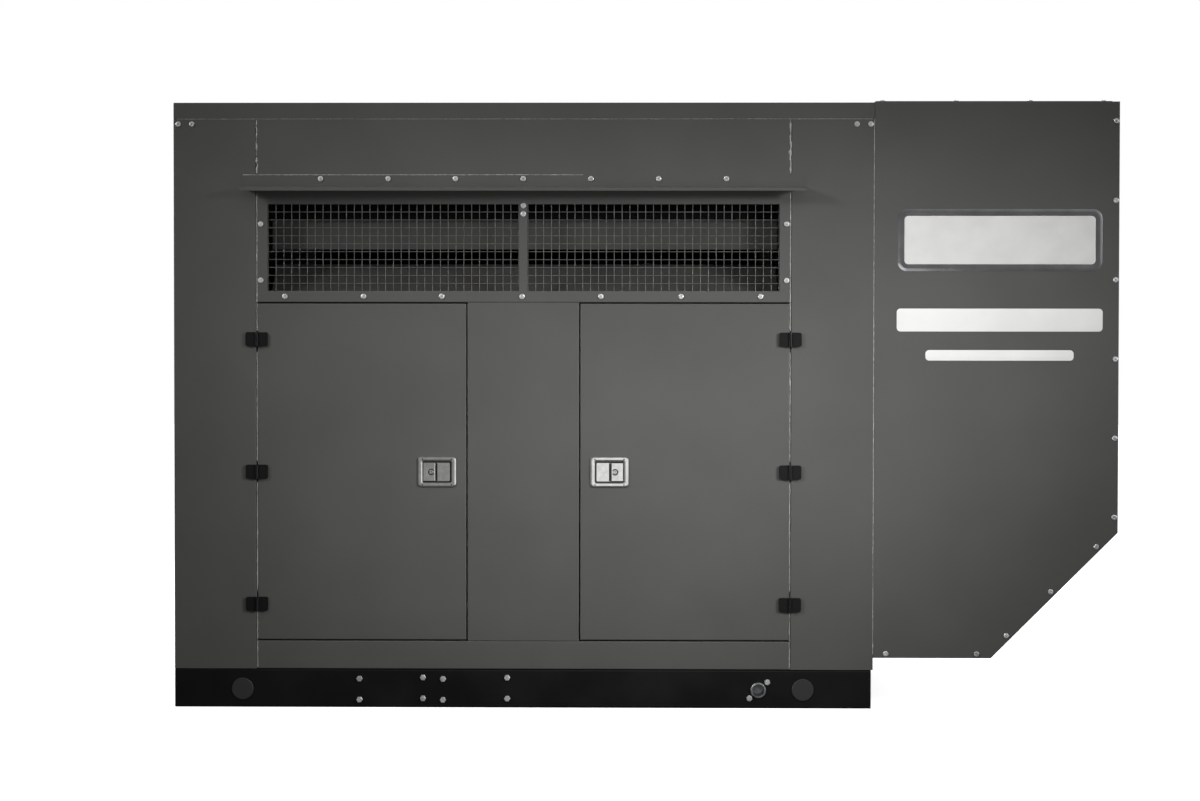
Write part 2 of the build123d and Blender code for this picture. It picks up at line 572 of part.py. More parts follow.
# ---------------------------------------------------------------- paddle latches
LATCH_PLATE = 4.0
at_latch = on_front(latch_x, latch_z)
dish = extrude(RectangleRounded(LATCH_WIDTH, LATCH_HEIGHT, LATCH_CORNER), LATCH_PLATE)
dish = fillet(dish.edges().group_by(Axis.Z)[-1], 1.5)
dish += Pos(0, 0, -DISH_DEPTH / 2) * Box(DISH_WIDTH, DISH_HEIGHT, DISH_DEPTH)
inside_w = DISH_WIDTH - 2 * DISH_WALL
inside_h = DISH_HEIGHT - 2 * DISH_WALL
cup = Pos(0, 0, 10 - (DISH_DEPTH - DISH_WALL) / 2) * Box(inside_w, inside_h, DISH_DEPTH - DISH_WALL + 20)
dish -= cup
bolt_depth = SEAL_SEAT + SHEET - FRONT + 1 + BOLT_SECTION / 2
guide_back = bolt_depth + BOLT_SECTION / 2 + 3
GUIDE_LENGTH = 70.0
guide_x = half_w - GUIDE_LENGTH / 2
guide = Pos(guide_x, 0, -(DISH_DEPTH + guide_back) / 2) * Box(GUIDE_LENGTH, 22, guide_back - DISH_DEPTH)
slot = BOLT_SECTION + 2 * RUNNING_CLEARANCE
guide -= Pos(guide_x, 0, -bolt_depth) * Box(GUIDE_LENGTH + 1, slot, slot)
dish += guide
pivot_x = -inside_w / 2 + 5.5
pivot_depth = 1.0
pivot = Pos(pivot_x, 0, -pivot_depth) * Rot(90, 0, 0)
dish -= pivot * Cylinder(2 + RUNNING_CLEARANCE, DISH_HEIGHT + 2)
latch_dish = at_latch * dish

plate_h = inside_h - 2 * PADDLE_GAP
paddle = Pos(pivot_x + PADDLE_WIDTH / 2, 0, LATCH_PLATE - PADDLE_THICKNESS / 2) * Box(
    PADDLE_WIDTH, plate_h, PADDLE_THICKNESS
)
paddle += pivot * Cylinder(4, plate_h)
paddle += Pos(pivot_x + 2, 0, 0.5) * Box(4, plate_h, 3)
paddle += pivot * Cylinder(2, DISH_HEIGHT)
lock_at = Pos(pivot_x + 24, 0, 0)
paddle += lock_at * Pos(0, 0, -4) * Cylinder(10, 12)
lock_bore = lock_at * Pos(0, 0, -2) * Cylinder(LOCK_RADIUS + RUNNING_CLEARANCE, 20)
latch_paddle = at_latch * (paddle - lock_bore)
lock = lock_at * Pos(0, 0, -3) * Cylinder(LOCK_RADIUS, 15)
lock += lock_at * Pos(0, 0, -11) * Box(6, 20, 2)
latch_lock = at_latch * (lock - lock_at * Pos(0, 0, 4) * Box(1.5, 7, 4))

lip_edge = MODULE_LEFT + OPENING_WIDTH - LIP_WIDTH - latch_x
BOLT_LENGTH = 62.0
nose = lip_edge - BOLT_SHORT
bolt = Pos(nose - BOLT_LENGTH / 2, 0, -bolt_depth) * Box(BOLT_LENGTH, BOLT_SECTION, BOLT_SECTION)
bolt_front = bolt.edges().filter_by(Axis.Y).sort_by(lambda edge: edge.center().X + edge.center().Z)
latch_bolt = at_latch * chamfer(bolt_front[-1], 5)

left_latch_dish, right_latch_dish = latch_dish, right_of(latch_dish)
left_latch_paddle, right_latch_paddle = latch_paddle, right_of(latch_paddle)
left_latch_lock, right_latch_lock = latch_lock, right_of(latch_lock)
left_latch_bolt, right_latch_bolt = latch_bolt, right_of(latch_bolt)

# ---------------------------------------------------------------- discharge hood


def hood_outline(inset, open_left=0.0):
    """Hood seen from the front, shrunk by the inset, in the XZ plane."""
    slope = inset * (2**0.5 - 1)
    x0 = BODY_RIGHT + inset - open_left
    points = [
        (x0, HOOD_BOTTOM + inset),
        (SLOPE_FOOT - slope, HOOD_BOTTOM + inset),
        (RIGHT - inset, HOOD_BOTTOM + HOOD_CHAMFER + slope),
        (RIGHT - inset, HOOD_TOP - inset),
        (x0, HOOD_TOP - inset),
    ]
    return Plane.XZ * Polygon(*points, align=None)


def hood_prism(inset, y0, y1, open_left=0.0):
    """The outline carried across the hood from y0 to y1."""
    return Pos(0, y1, 0) * extrude(hood_outline(inset, open_left), y1 - y0)


hood_tray = hood_prism(0, FRONT, FRONT + FLANGE)
hood_tray = fillet(hood_tray.faces().sort_by(Axis.Y)[0].edges(), BEND + SHEET)
hood_tray -= hood_prism(SHEET, FRONT + SHEET, FRONT + FLANGE + 1)
top_holes = [Pos(x, FRONT + 17, HOOD_TOP) * Cylinder(SCREW_RADIUS + HOLE_CLEARANCE, 20) for x in top_screw_x]
hood_front_panel = hood_tray - drills_for(hood_screws) - top_holes
hood_rear_panel = rear_of(hood_front_panel)

hood_shell = hood_prism(SHEET, FRONT + SHEET, -FRONT - SHEET)
hood_shell -= hood_prism(2 * SHEET, FRONT + 2 * SHEET, -FRONT - 2 * SHEET, 10)
hood_shell -= hood_prism(SHEET + 30, FRONT - 1, -FRONT + 1, 60)
hood_shell -= block(BODY_RIGHT - 1, DISCHARGE_RIGHT - 30, FRONT + 40, -FRONT - 40, HOOD_TOP - 10, HOOD_TOP + 1)
hood_shell -= drills_for(hood_screws) + top_holes
hood_shell -= [rear_of(drill) for drill in drills_for(hood_screws) + top_holes]
hood_end_panel = hood_shell

DISCHARGE_COLUMNS = 26
DISCHARGE_ROWS = 38
discharge_x = DISCHARGE_LEFT + 40 + DISCHARGE_COLUMNS * MESH_PITCH / 2
discharge_x0 = discharge_x - DISCHARGE_COLUMNS * MESH_PITCH / 2
discharge_x1 = discharge_x + DISCHARGE_COLUMNS * MESH_PITCH / 2
discharge_y = DISCHARGE_ROWS * MESH_PITCH / 2
strip_z = (HOOD_TOP, HOOD_TOP + SHEET)
strips = [
    block(DISCHARGE_LEFT, discharge_x0, FRONT + 6, -FRONT - 6, *strip_z),
    block(discharge_x1, DISCHARGE_RIGHT, FRONT + 6, -FRONT - 6, *strip_z),
    block(discharge_x0, discharge_x1, FRONT + 6, -discharge_y, *strip_z),
    block(discharge_x0, discharge_x1, discharge_y, -FRONT - 6, *strip_z),
]
discharge_frame = [strip - top_holes - [rear_of(hole) for hole in top_holes] for strip in strips]
discharge_mesh = wire_mesh(
    DISCHARGE_COLUMNS * MESH_PITCH, DISCHARGE_ROWS * MESH_PITCH, DRAWN_COLUMNS, DRAWN_COLUMNS
)
discharge_wires = [Pos(discharge_x, 0, HOOD_TOP) * Rot(180, 0, 0) * wire for wire in discharge_mesh]
hood_discharge_grille = solids_of(*discharge_frame, *discharge_wires)

BADGE_WIDTH = 660.0
BADGE_HEIGHT = 200.0
BADGE_OFFSET = 10.0  # right of the hood's middle
BADGE_DROP = 447.0  # below the hood's top
badge = extrude(RectangleRounded(BADGE_WIDTH, BADGE_HEIGHT, 24), SHEET)
badge_x = BODY_RIGHT + HOOD_LENGTH / 2 + BADGE_OFFSET
hood_badge = on_front(badge_x, HOOD_TOP - BADGE_DROP) * chamfer(badge.edges().group_by(Axis.Z)[-1], 1.2)

# ---------------------------------------------------------------- generator
stator = round_bar(GENERATOR_X, BELL_X, GENERATOR_RADIUS) - round_bar(
    GENERATOR_X + 20, BELL_X + 1, ROTOR_RADIUS + AIR_GAP
)
stator -= round_bar(GENERATOR_X - 1, GENERATOR_X + 30, SHAFT_RADIUS + RUNNING_CLEARANCE)
bell = round_bar(BELL_X - 12, ENGINE_X, BELL_RADIUS) - round_bar(BELL_X, ENGINE_X + 1, BELL_RADIUS - 14)
bell -= round_bar(BELL_X - 20, BELL_X + 5, ROTOR_RADIUS + AIR_GAP)
generator_housing = stator + bell
for middle in member_middles[:2]:
    x = LEFT + middle
    for side in (-1, 1):
        y0, y1 = sorted((side * 190, side * 320))
        generator_housing += block(x - 45, x + 45, y0, y1, ISOLATOR_TOP, ISOLATOR_TOP + 16)
        y0, y1 = sorted((side * 190, side * 206))
        generator_housing += block(x - 45, x + 45, y0, y1, ISOLATOR_TOP, CRANK_Z - 100)
terminal_box = block(GENERATOR_X + 90, GENERATOR_X + 390, -190, 190, CRANK_Z + 200, CRANK_Z + 390)
generator_housing += terminal_box

COUPLING_X = BELL_X + 60
rotor = round_bar(GENERATOR_X - 4, COUPLING_X, SHAFT_RADIUS)
rotor += round_bar(GENERATOR_X + 60, BELL_X - 50, ROTOR_RADIUS)
generator_rotor = rotor + round_bar(COUPLING_X - 14, COUPLING_X, 200)

# ---------------------------------------------------------------- engine
crank = round_bar(COUPLING_X, COUPLING_X + 34, 205) + round_bar(COUPLING_X, PULLEY_X + 20, SHAFT_RADIUS)
pulley_x0 = PULLEY_X - PULLEY_WIDTH / 2
pulley_x1 = PULLEY_X + PULLEY_WIDTH / 2
crankshaft = crank + round_bar(pulley_x0, pulley_x1, CRANK_PULLEY_RADIUS)

block_z0, block_z1 = CRANK_Z - 180, CRANK_Z + 180
engine = block(ENGINE_X, ENGINE_FRONT, -170, 170, block_z0, CRANK_Z + 90)
engine += block(ENGINE_X + 30, ENGINE_FRONT - 30, -50, 50, CRANK_Z, block_z1)
engine += block(ENGINE_X + 60, ENGINE_FRONT - 90, -140, 140, CRANK_Z - 290, block_z0)
engine += round_bar(ENGINE_X, ENGINE_X + 18, BELL_RADIUS)
bank_length = ENGINE_LENGTH - 60
EXHAUST_RUN = 340.0  # exhaust risers behind the engine's front end
COLLECTOR_TOP = 720.0
RISER_Y = 410.0
EXHAUST_BEND = 140.0
bank_x = (ENGINE_X + ENGINE_FRONT) / 2
covers = []
for side in (-1, 1):
    bank = Pos(bank_x, 0, CRANK_Z) * Rot(-45 * side, 0, 0)
    engine += bank * Pos(0, 0, 215) * Box(bank_length, 170, 230)
    cover = Pos(0, 0, 365) * Box(bank_length - 10, 180, 70)
    cover += Pos(0, 0, 425) * Box(bank_length - 60, 130, 50)
    cover += Pos(0, side * 112, 370) * Box(bank_length - 80, 44, 50)
    collector_x = ENGINE_FRONT - EXHAUST_RUN
    y0, y1 = sorted((side * (RISER_Y - 46), side * (RISER_Y + 46)))
    collector = block(collector_x - 45, collector_x + 45, y0, y1, 650, COLLECTOR_TOP)
    covers.append(bank * cover + collector)
    y0, y1 = sorted((side * 150, side * 320))
    mount_x = LEFT + FRONT_MOUNT_X
    engine += block(mount_x - 45, mount_x + 45, y0, y1, ISOLATOR_TOP, ISOLATOR_TOP + 16)
    y0, y1 = sorted((side * 150, side * 172))
    engine += block(mount_x - 45, mount_x + 45, y0, y1, ISOLATOR_TOP, block_z0 + 40)
FAN_SHAFT_RADIUS = 15.0
engine += block(ENGINE_FRONT - 20, ENGINE_FRONT, -60, 60, CRANK_Z, FAN_Z + 40)
engine += round_bar(ENGINE_FRONT - 60, ENGINE_FRONT + 8, 38, 0, FAN_Z)
engine -= round_bar(ENGINE_X - 1, ENGINE_FRONT + 1, SHAFT_RADIUS + RUNNING_CLEARANCE)
fan_bore = round_bar(ENGINE_FRONT - 50, ENGINE_FRONT + 20, FAN_SHAFT_RADIUS + RUNNING_CLEARANCE, 0, FAN_Z)
engine -= block(ENGINE_X + 40, ENGINE_FRONT - 40, -135, 135, block_z0 + 30, CRANK_Z + 50)
engine -= block(ENGINE_X + 70, ENGINE_FRONT - 100, -130, 130, CRANK_Z - 280, block_z0 + 31)
engine_block = engine - fan_bore
cylinder_heads = solids_of(*covers)

manifold = [(-46, block_z1), (46, block_z1), (140, block_z1 + 94), (140, 830), (-140, 830), (-140, block_z1 + 94)]
intake = Pos(ENGINE_X + 60, 0, 0) * extrude(Plane.YZ * Polygon(*manifold, align=None), 400)
intake += block(ENGINE_X + 120, ENGINE_X + 240, -60, 60, 830, 960)
air_intake = intake + round_bar(ENGINE_X + 40, ENGINE_X + 400, 105, 0, 985)

# ---------------------------------------------------------------- fan, belt, radiator and shroud
FAN_X = RADIATOR_X - 90.0
fan = round_bar(ENGINE_FRONT - 46, FAN_X + 40, FAN_SHAFT_RADIUS, 0, FAN_Z)
fan += round_bar(pulley_x0, pulley_x1, FAN_PULLEY_RADIUS, 0, FAN_Z)
fan += round_bar(FAN_X - 30, FAN_X + 30, 70, 0, FAN_Z)
blade = Pos(0, 0, 195) * Rot(0, 0, 50) * Box(90, 5, 270)
for i in range(FAN_BLADES):
    fan += Pos(FAN_X, 0, FAN_Z) * Rot(360 / FAN_BLADES * i, 0, 0) * blade

loops = []
for extra in (BELT_GAP, BELT_GAP + BELT_THICKNESS):
    wheels = Pos(0, CRANK_Z) * Circle(CRANK_PULLEY_RADIUS + extra) + Pos(0, FAN_Z) * Circle(FAN_PULLEY_RADIUS + extra)
    loops.append(make_hull(wheels.edges()))
belt_width = PULLEY_WIDTH - 6
drive_belt = Pos(PULLEY_X - belt_width / 2, 0, 0) * extrude(Plane.YZ * (loops[1] - loops[0]), belt_width)

half_radiator = RADIATOR_WIDTH / 2
radiator = block(RADIATOR_X, BODY_RIGHT - SHEET, -half_radiator, half_radiator, RADIATOR_BOTTOM, RADIATOR_TOP)
radiator = fillet(radiator.edges().filter_by(Axis.Y), 6)
for x0, x1 in ((RADIATOR_X - 1, RADIATOR_X + 20), (BODY_RIGHT - SHEET - 20, BODY_RIGHT)):
    radiator -= block(x0, x1, 30 - half_radiator, half_radiator - 30, RADIATOR_BOTTOM + 90, RADIATOR_TOP - 90)
radiator += Pos(RADIATOR_X + 40, 300, RADIATOR_TOP + 12) * Cylinder(32, 26)

SHROUD_DEPTH = 110.0
shroud_x = RADIATOR_X - SHROUD_DEPTH
shroud_half = half_radiator - 20
shroud_z0, shroud_z1 = RADIATOR_BOTTOM + 40, RADIATOR_TOP - 40
shroud = block(shroud_x, RADIATOR_X, -shroud_half, shroud_half, shroud_z0, shroud_z1)
shroud -= block(shroud_x + 3, RADIATOR_X + 1, 3 - shroud_half, shroud_half - 3, shroud_z0 + 3, shroud_z1 - 3)
fan_shroud = shroud - round_bar(shroud_x - 1, shroud_x + 10, FAN_RADIUS + 15, 0, FAN_Z)

# ---------------------------------------------------------------- exhaust
MUFFLER_X = BODY_RIGHT + 330
muffler = Pos(MUFFLER_X, 0, EXHAUST_Z) * Rot(90, 0, 0) * Cylinder(MUFFLER_RADIUS, MUFFLER_LENGTH)
muffler = fillet(muffler.edges(), 25)
for side in (-1, 1):
    muffler += block(BODY_RIGHT, MUFFLER_X, side * 200 - 3, side * 200 + 3, EXHAUST_Z - 60, EXHAUST_Z + 60)
    muffler += block(BODY_RIGHT, BODY_RIGHT + 6, side * 200 - 30, side * 200 + 30, EXHAUST_Z - 60, EXHAUST_Z + 60)
tail = Pos(MUFFLER_X, 0, (EXHAUST_Z + HOOD_TOP) / 2) * Cylinder(EXHAUST_RADIUS, HOOD_TOP - EXHAUST_Z - 20)
inlet_flange = round_bar(MUFFLER_X - MUFFLER_RADIUS - 60, MUFFLER_X, EXHAUST_RADIUS, 0, EXHAUST_Z)
muffler += tail + inlet_flange

riser_x = ENGINE_FRONT - EXHAUST_RUN
riser_path = [
    (riser_x, -RISER_Y, COLLECTOR_TOP),
    (riser_x, -RISER_Y, EXHAUST_Z),
    (riser_x, RISER_Y, EXHAUST_Z),
    (riser_x, RISER_Y, COLLECTOR_TOP),
]
pipe_end = MUFFLER_X - MUFFLER_RADIUS - 60
bore = EXHAUST_RADIUS - 3
outer_pipe = tube_along(riser_path, EXHAUST_BEND, EXHAUST_RADIUS)
outlet_x = riser_x + 5  # the outlet starts inside the cross pipe
outer_pipe += round_bar(outlet_x, pipe_end, EXHAUST_RADIUS, 0, EXHAUST_Z)
exhaust_pipe = outer_pipe - tube_along(riser_path, EXHAUST_BEND, bore)
exhaust_pipe -= round_bar(outlet_x, pipe_end + 1, bore, 0, EXHAUST_Z)

# ---------------------------------------------------------------- controls, battery and gas train
CABINET_Y = -485.0
cabinet_x0, cabinet_x1 = LEFT + 600, LEFT + 920
CABINET_HEIGHT = 410.0
cabinet_z1 = OPENING_TOP - 48  # clear of the sloped baffle
cabinet_z0 = cabinet_z1 - CABINET_HEIGHT
cabinet_back = CABINET_Y + 190
cabinet = block(cabinet_x0, cabinet_x1, CABINET_Y, cabinet_back, cabinet_z0, cabinet_z1)
cabinet = fillet(cabinet.edges(), 3)
cabinet -= block(cabinet_x0 + 2, cabinet_x1 - 2, CABINET_Y + 2, cabinet_back - 2, cabinet_z0 + 2, cabinet_z1 - 2)
for leg_x in (cabinet_x0, cabinet_x1 - 40):
    cabinet += block(leg_x, leg_x + 40, CABINET_Y, CABINET_Y + 30, MEMBER_TOP, cabinet_z0 + 2)
breaker_x, breaker_z = LEFT + 800, cabinet_z0 + 140
cabinet += block(breaker_x - 45, breaker_x + 45, CABINET_Y, CABINET_Y + 60, breaker_z - 75, breaker_z + 75)
cabinet -= block(breaker_x - 12.5, breaker_x + 12.5, CABINET_Y - 1, CABINET_Y + 36, breaker_z - 32, breaker_z + 32)
toggle_axis = Pos(breaker_x, CABINET_Y + 14, breaker_z) * Rot(0, 90, 0)
cabinet -= toggle_axis * Cylinder(4 + RUNNING_CLEARANCE, 42)
stop_x, stop_z = LEFT + 700, cabinet_z1 - 80
stop_at = on_front(stop_x, stop_z, CABINET_Y)
cabinet += stop_at * Pos(0, 0, -15) * Cylinder(22, 34)
control_box = cabinet - stop_at * Pos(0, 0, -15) * Cylinder(8 + RUNNING_CLEARANCE, 60)

toggle = toggle_axis * Cylinder(13, 24) + toggle_axis * Cylinder(4, 40)
lever = Pos(breaker_x, CABINET_Y + 14, breaker_z) * Rot(-25, 0, 0) * Pos(0, -22, 0) * Box(18, 40, 10)
breaker_toggle = toggle + lever
button = stop_at * Pos(0, 0, 15) * Cylinder(20, 12) + stop_at * Pos(0, 0, -10) * Cylinder(8, 40)
stop_button = button

battery_x = LEFT + FRONT_MOUNT_X
battery_body = block(battery_x - 115, battery_x + 115, -500, -328, MEMBER_TOP, MEMBER_TOP + 190)
battery_body = fillet(battery_body.edges().filter_by(Axis.Z), 8)
for side in (-1, 1):
    battery_body += Pos(battery_x + side * 80, -450, MEMBER_TOP + 197) * Cylinder(8, 18)
battery = battery_body

gas_x = LEFT + FUEL_X
gas_start = RAIL_Y + 58
GAS_Y = -405.0
gas_line = tube_along(
    [(gas_x, gas_start, FUEL_Z), (gas_x, GAS_Y, FUEL_Z), (gas_x, GAS_Y, 700)],
    40,
    FUEL_OUTER_RADIUS - 3,
)
gas_regulator = gas_line + Pos(gas_x, GAS_Y, 480) * Cylinder(80, 60) + Pos(gas_x, GAS_Y, 520) * Cylinder(50, 60)

# ---------------------------------------------------------------- one STEP file per node
NODES = """
base_front_rail base_rear_rail base_end_channels base_cross_members lifting_hole_plugs base_bolts
fuel_inlet vibration_isolators front_corner_panels rear_corner_panels left_end_panel radiator_bulkhead
front_upper_panel rear_upper_panel sill_panels centre_panels rear_service_panels grille_frames
grille_meshes rain_lips roof_panel enclosure_screws door_frames door_seals intake_baffles
hinge_frame_leaves left_door left_door_hinge_leaves left_latch_dish left_latch_paddle left_latch_lock
left_latch_bolt right_door right_door_hinge_leaves right_latch_dish right_latch_paddle right_latch_lock
right_latch_bolt hood_front_panel hood_rear_panel hood_end_panel hood_discharge_grille muffler
exhaust_pipe hood_badge engine_block cylinder_heads air_intake crankshaft fan drive_belt radiator
fan_shroud generator_housing generator_rotor control_box stop_button breaker_toggle battery
gas_regulator
""".split()

os.makedirs("parts", exist_ok=True)
for name in NODES:
    export_step(globals()[name], f"parts/{name}.step")
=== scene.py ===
from math import pi, radians

import bmesh
import bpy
import numpy as np
from mathutils import Euler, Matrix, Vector


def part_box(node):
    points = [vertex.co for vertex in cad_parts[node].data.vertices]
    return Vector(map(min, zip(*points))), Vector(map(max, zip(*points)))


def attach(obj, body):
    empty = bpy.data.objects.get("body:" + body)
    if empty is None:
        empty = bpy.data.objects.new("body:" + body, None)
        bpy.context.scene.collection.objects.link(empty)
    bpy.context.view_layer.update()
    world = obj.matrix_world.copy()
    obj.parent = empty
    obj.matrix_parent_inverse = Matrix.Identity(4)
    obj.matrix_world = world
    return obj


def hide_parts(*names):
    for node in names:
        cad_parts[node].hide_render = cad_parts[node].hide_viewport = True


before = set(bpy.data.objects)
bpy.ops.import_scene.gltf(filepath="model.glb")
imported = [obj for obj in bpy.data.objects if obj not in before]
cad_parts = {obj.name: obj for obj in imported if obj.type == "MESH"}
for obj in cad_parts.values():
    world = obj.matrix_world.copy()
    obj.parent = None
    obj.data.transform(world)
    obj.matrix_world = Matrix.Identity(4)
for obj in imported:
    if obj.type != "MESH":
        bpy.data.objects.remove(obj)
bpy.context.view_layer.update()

# ---------------------------------------------------------------------------------------------
# Wall panels, doors, roof and hood. Folded 2 mm sheet steel, zinc phosphated and sprayed with a
# fine-textured polyester powder in dark grey, then stoved. Every fold is a soft round edge that
# catches the light. The powder flows into small grains: a satin sheet that is never quite smooth.


def linear(hex_colour):
    """sRGB hex to linear RGBA: c/12.92 below 0.04045, else ((c + 0.055) / 1.055) ** 2.4."""
    parts = [int(hex_colour[i : i + 2], 16) / 255 for i in (1, 3, 5)]
    return [c / 12.92 if c <= 0.04045 else ((c + 0.055) / 1.055) ** 2.4 for c in parts] + [1.0]


def add(tree, kind, links=(), **settings):
    """Adds a node; settings are its properties or its inputs' values, links are (input, output) pairs."""
    made = tree.nodes.new(kind)
    for name, value in settings.items():
        if hasattr(made, name):
            setattr(made, name, value)
        else:
            made.inputs[name.replace("_", " ")].default_value = value
    for socket, source in links:
        tree.links.new(source, made.inputs[socket])
    return made


def finish_of(name, colour, roughness, metallic=0.0, **sockets):
    """A new material with one shader: returns it, its tree, its shader and its Object coordinates."""
    material = bpy.data.materials.new(name)
    material.use_nodes = True
    tree = material.node_tree
    shader = tree.nodes["Principled BSDF"]
    shader.inputs["Base Color"].default_value = linear(colour)
    shader.inputs["Roughness"].default_value = roughness
    shader.inputs["Metallic"].default_value = metallic
    for socket, value in sockets.items():
        shader.inputs[socket.replace("_", " ")].default_value = value
    place = add(tree, "ShaderNodeTexCoord").outputs["Object"]
    return material, tree, shader, place


def mottle(tree, shader, place, dark, light, size_mm):
    """Colour drifts between two hex values in soft patches of about size_mm. Returns the patches, 0 to 1."""
    noise = add(tree, "ShaderNodeTexNoise", [("Vector", place)], Scale=1000 / size_mm, Detail=3.0)
    ramp = add(tree, "ShaderNodeMapRange", [("Value", noise.outputs["Fac"])])
    ramp.inputs["From Min"].default_value = 0.3
    ramp.inputs["From Max"].default_value = 0.7
    mix = add(tree, "ShaderNodeMix", [("Factor", ramp.outputs["Result"])], data_type="RGBA")
    mix.inputs["A"].default_value = linear(dark)
    mix.inputs["B"].default_value = linear(light)
    tree.links.new(mix.outputs["Result"], shader.inputs["Base Color"])
    return ramp.outputs["Result"]


def grain(tree, shader, place, size_mm, height_mm, detail=2.0):
    """Raised grains of about size_mm across and height_mm high, as bump."""
    noise = add(tree, "ShaderNodeTexNoise", [("Vector", place)], Scale=1000 / size_mm, Detail=detail)
    bump = add(tree, "ShaderNodeBump", [("Height", noise.outputs["Fac"])], Distance=height_mm / 1000)
    tree.links.new(bump.outputs["Normal"], shader.inputs["Normal"])


def sheen_between(tree, shader, factor, low, high):
    """Roughness follows a factor from low to high."""
    span = add(tree, "ShaderNodeMapRange", [("Value", factor)])
    span.inputs["To Min"].default_value = low
    span.inputs["To Max"].default_value = high
    tree.links.new(span.outputs["Result"], shader.inputs["Roughness"])


def paint(material, *names):
    """Gives CAD nodes a material in all of their slots."""
    for name in names:
        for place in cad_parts[name].material_slots:
            place.material = material


powder, tree, shader, place = finish_of("textured_powder_coat_dark_grey", "#4f4f4d", 0.56)
patches = mottle(tree, shader, place, "#4e4e4c", "#525250", 240)
# powder grains are under 1 mm; drawn at 3 mm so that they show
grain(tree, shader, place, 3.0, 0.06)
sheen_between(tree, shader, patches, 0.54, 0.60)
paint(
    powder,
    "front_corner_panels",
    "rear_corner_panels",
    "left_end_panel",
    "radiator_bulkhead",
    "front_upper_panel",
    "rear_upper_panel",
    "sill_panels",
    "centre_panels",
    "rear_service_panels",
    "grille_frames",
    "rain_lips",
    "roof_panel",
    "door_frames",
    "left_door",
    "right_door",
    "hood_front_panel",
    "hood_rear_panel",
    "hood_end_panel",
)

# ---------------------------------------------------------------------------------------------
# Base. Two pressed steel channels as rails, channels across the ends and three cross members,
# welded and bolted, under black chassis enamel that is glossier than the powder above it.
enamel, tree, shader, place = finish_of("black_chassis_enamel", "#0c0c0c", 0.4, Specular_IOR_Level=0.3)
patches = mottle(tree, shader, place, "#0a0a0a", "#101010", 160)
grain(tree, shader, place, 14.0, 0.12)
sheen_between(tree, shader, patches, 0.34, 0.46)
paint(enamel, "base_front_rail", "base_rear_rail", "base_end_channels", "base_cross_members")

# ---------------------------------------------------------------------------------------------
# Lifting-hole plugs and isolators. Plugs are moulded in dark grey polyethylene and pushed into
# the crane holes; isolators are natural rubber bonded between two plates.
plug, tree, shader, place = finish_of("moulded_polyethylene_dark_grey", "#2d2d2d", 0.55)
grain(tree, shader, place, 4.0, 0.05)
paint(plug, "lifting_hole_plugs")
rubber, tree, shader, place = finish_of("black_rubber", "#141414", 0.7)
grain(tree, shader, place, 3.0, 0.08)
paint(rubber, "vibration_isolators", "door_seals", "drive_belt")

# ---------------------------------------------------------------------------------------------
# Screws and bolts. Steel with bright zinc plating: a slightly blue metal that is smooth on the
# domed heads and dulls in patches where the plating has started to oxidise.
zinc, tree, shader, place = finish_of("bright_zinc_plated_steel", "#e4e6e6", 0.5, 1.0)
patches = mottle(tree, shader, place, "#dadcdc", "#eceeee", 9)
sheen_between(tree, shader, patches, 0.42, 0.6)
paint(zinc, "base_bolts", "enclosure_screws", "left_latch_bolt", "right_latch_bolt")

# ---------------------------------------------------------------------------------------------
# Gas inlet. A cast coupling of malleable iron, hot-dip galvanised, with the spangle and the
# grey, uneven skin of the dipping bath.
galvanised, tree, shader, place = finish_of("hot_dip_galvanised_iron", "#b5b8ba", 0.4, 1.0)
patches = mottle(tree, shader, place, "#9a9d9f", "#c2c5c7", 12)
sheen_between(tree, shader, patches, 0.35, 0.55)
paint(galvanised, "fuel_inlet")

# ---------------------------------------------------------------------------------------------
# Hinges. Block hinges of pressed steel in satin black, screwed from behind, with a steel pin.
hinge_black, tree, shader, place = finish_of("satin_black_e_coat", "#0b0b0b", 0.5, Specular_IOR_Level=0.25)
grain(tree, shader, place, 3.0, 0.03)
paint(hinge_black, "hinge_frame_leaves", "left_door_hinge_leaves", "right_door_hinge_leaves")

# ---------------------------------------------------------------------------------------------
# Paddle latches. Each is a deep-drawn stainless dish with a paddle over its outer half and a lock
# plug in the paddle; the press leaves the sheet bright, with fine straight polishing lines.


def surface(name, points, faces, smooth=True):
    """A mesh object at the origin from an array of points and a list of faces."""
    mesh = bpy.data.meshes.new(name)
    mesh.from_pydata(np.asarray(points, float).tolist(), [], faces)
    mesh.validate()
    mesh.shade_smooth() if smooth else mesh.shade_flat()
    made = bpy.data.objects.new(name, mesh)
    bpy.context.scene.collection.objects.link(made)
    return made


def dress(piece, material, body="enclosure"):
    """Gives a new piece its material and body."""
    piece.data.materials.append(material)
    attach(piece, body)


def soften(piece, angle=35):
    """Smooth shading that keeps edges sharper than angle degrees."""
    piece.data.set_sharp_from_angle(angle=radians(angle))
    return piece


def facing_middle(low, high):
    """Middle of a box as it is seen from the front, as (x, z)."""
    return (low.x + high.x) / 2, (low.z + high.z) / 2


def stacked(name, rings, hollow=False, smooth=True):
    """Mesh from rings of as many points each, stood one after the other and bridged with quads. A fan closes
    each end, or in a hollow one the last ring is bridged back to the first."""
    index = np.arange(len(rings) * len(rings[0])).reshape(len(rings), -1)
    a, b = (index, np.roll(index, -1, 0)) if hollow else (index[:-1], index[1:])
    quads = np.stack([a, np.roll(a, -1, 1), np.roll(b, -1, 1), b], -1).reshape(-1, 4)
    ends = [] if hollow else [index[0, ::-1].tolist(), index[-1].tolist()]
    return surface(name, np.concatenate(rings), quads.tolist() + ends, smooth)


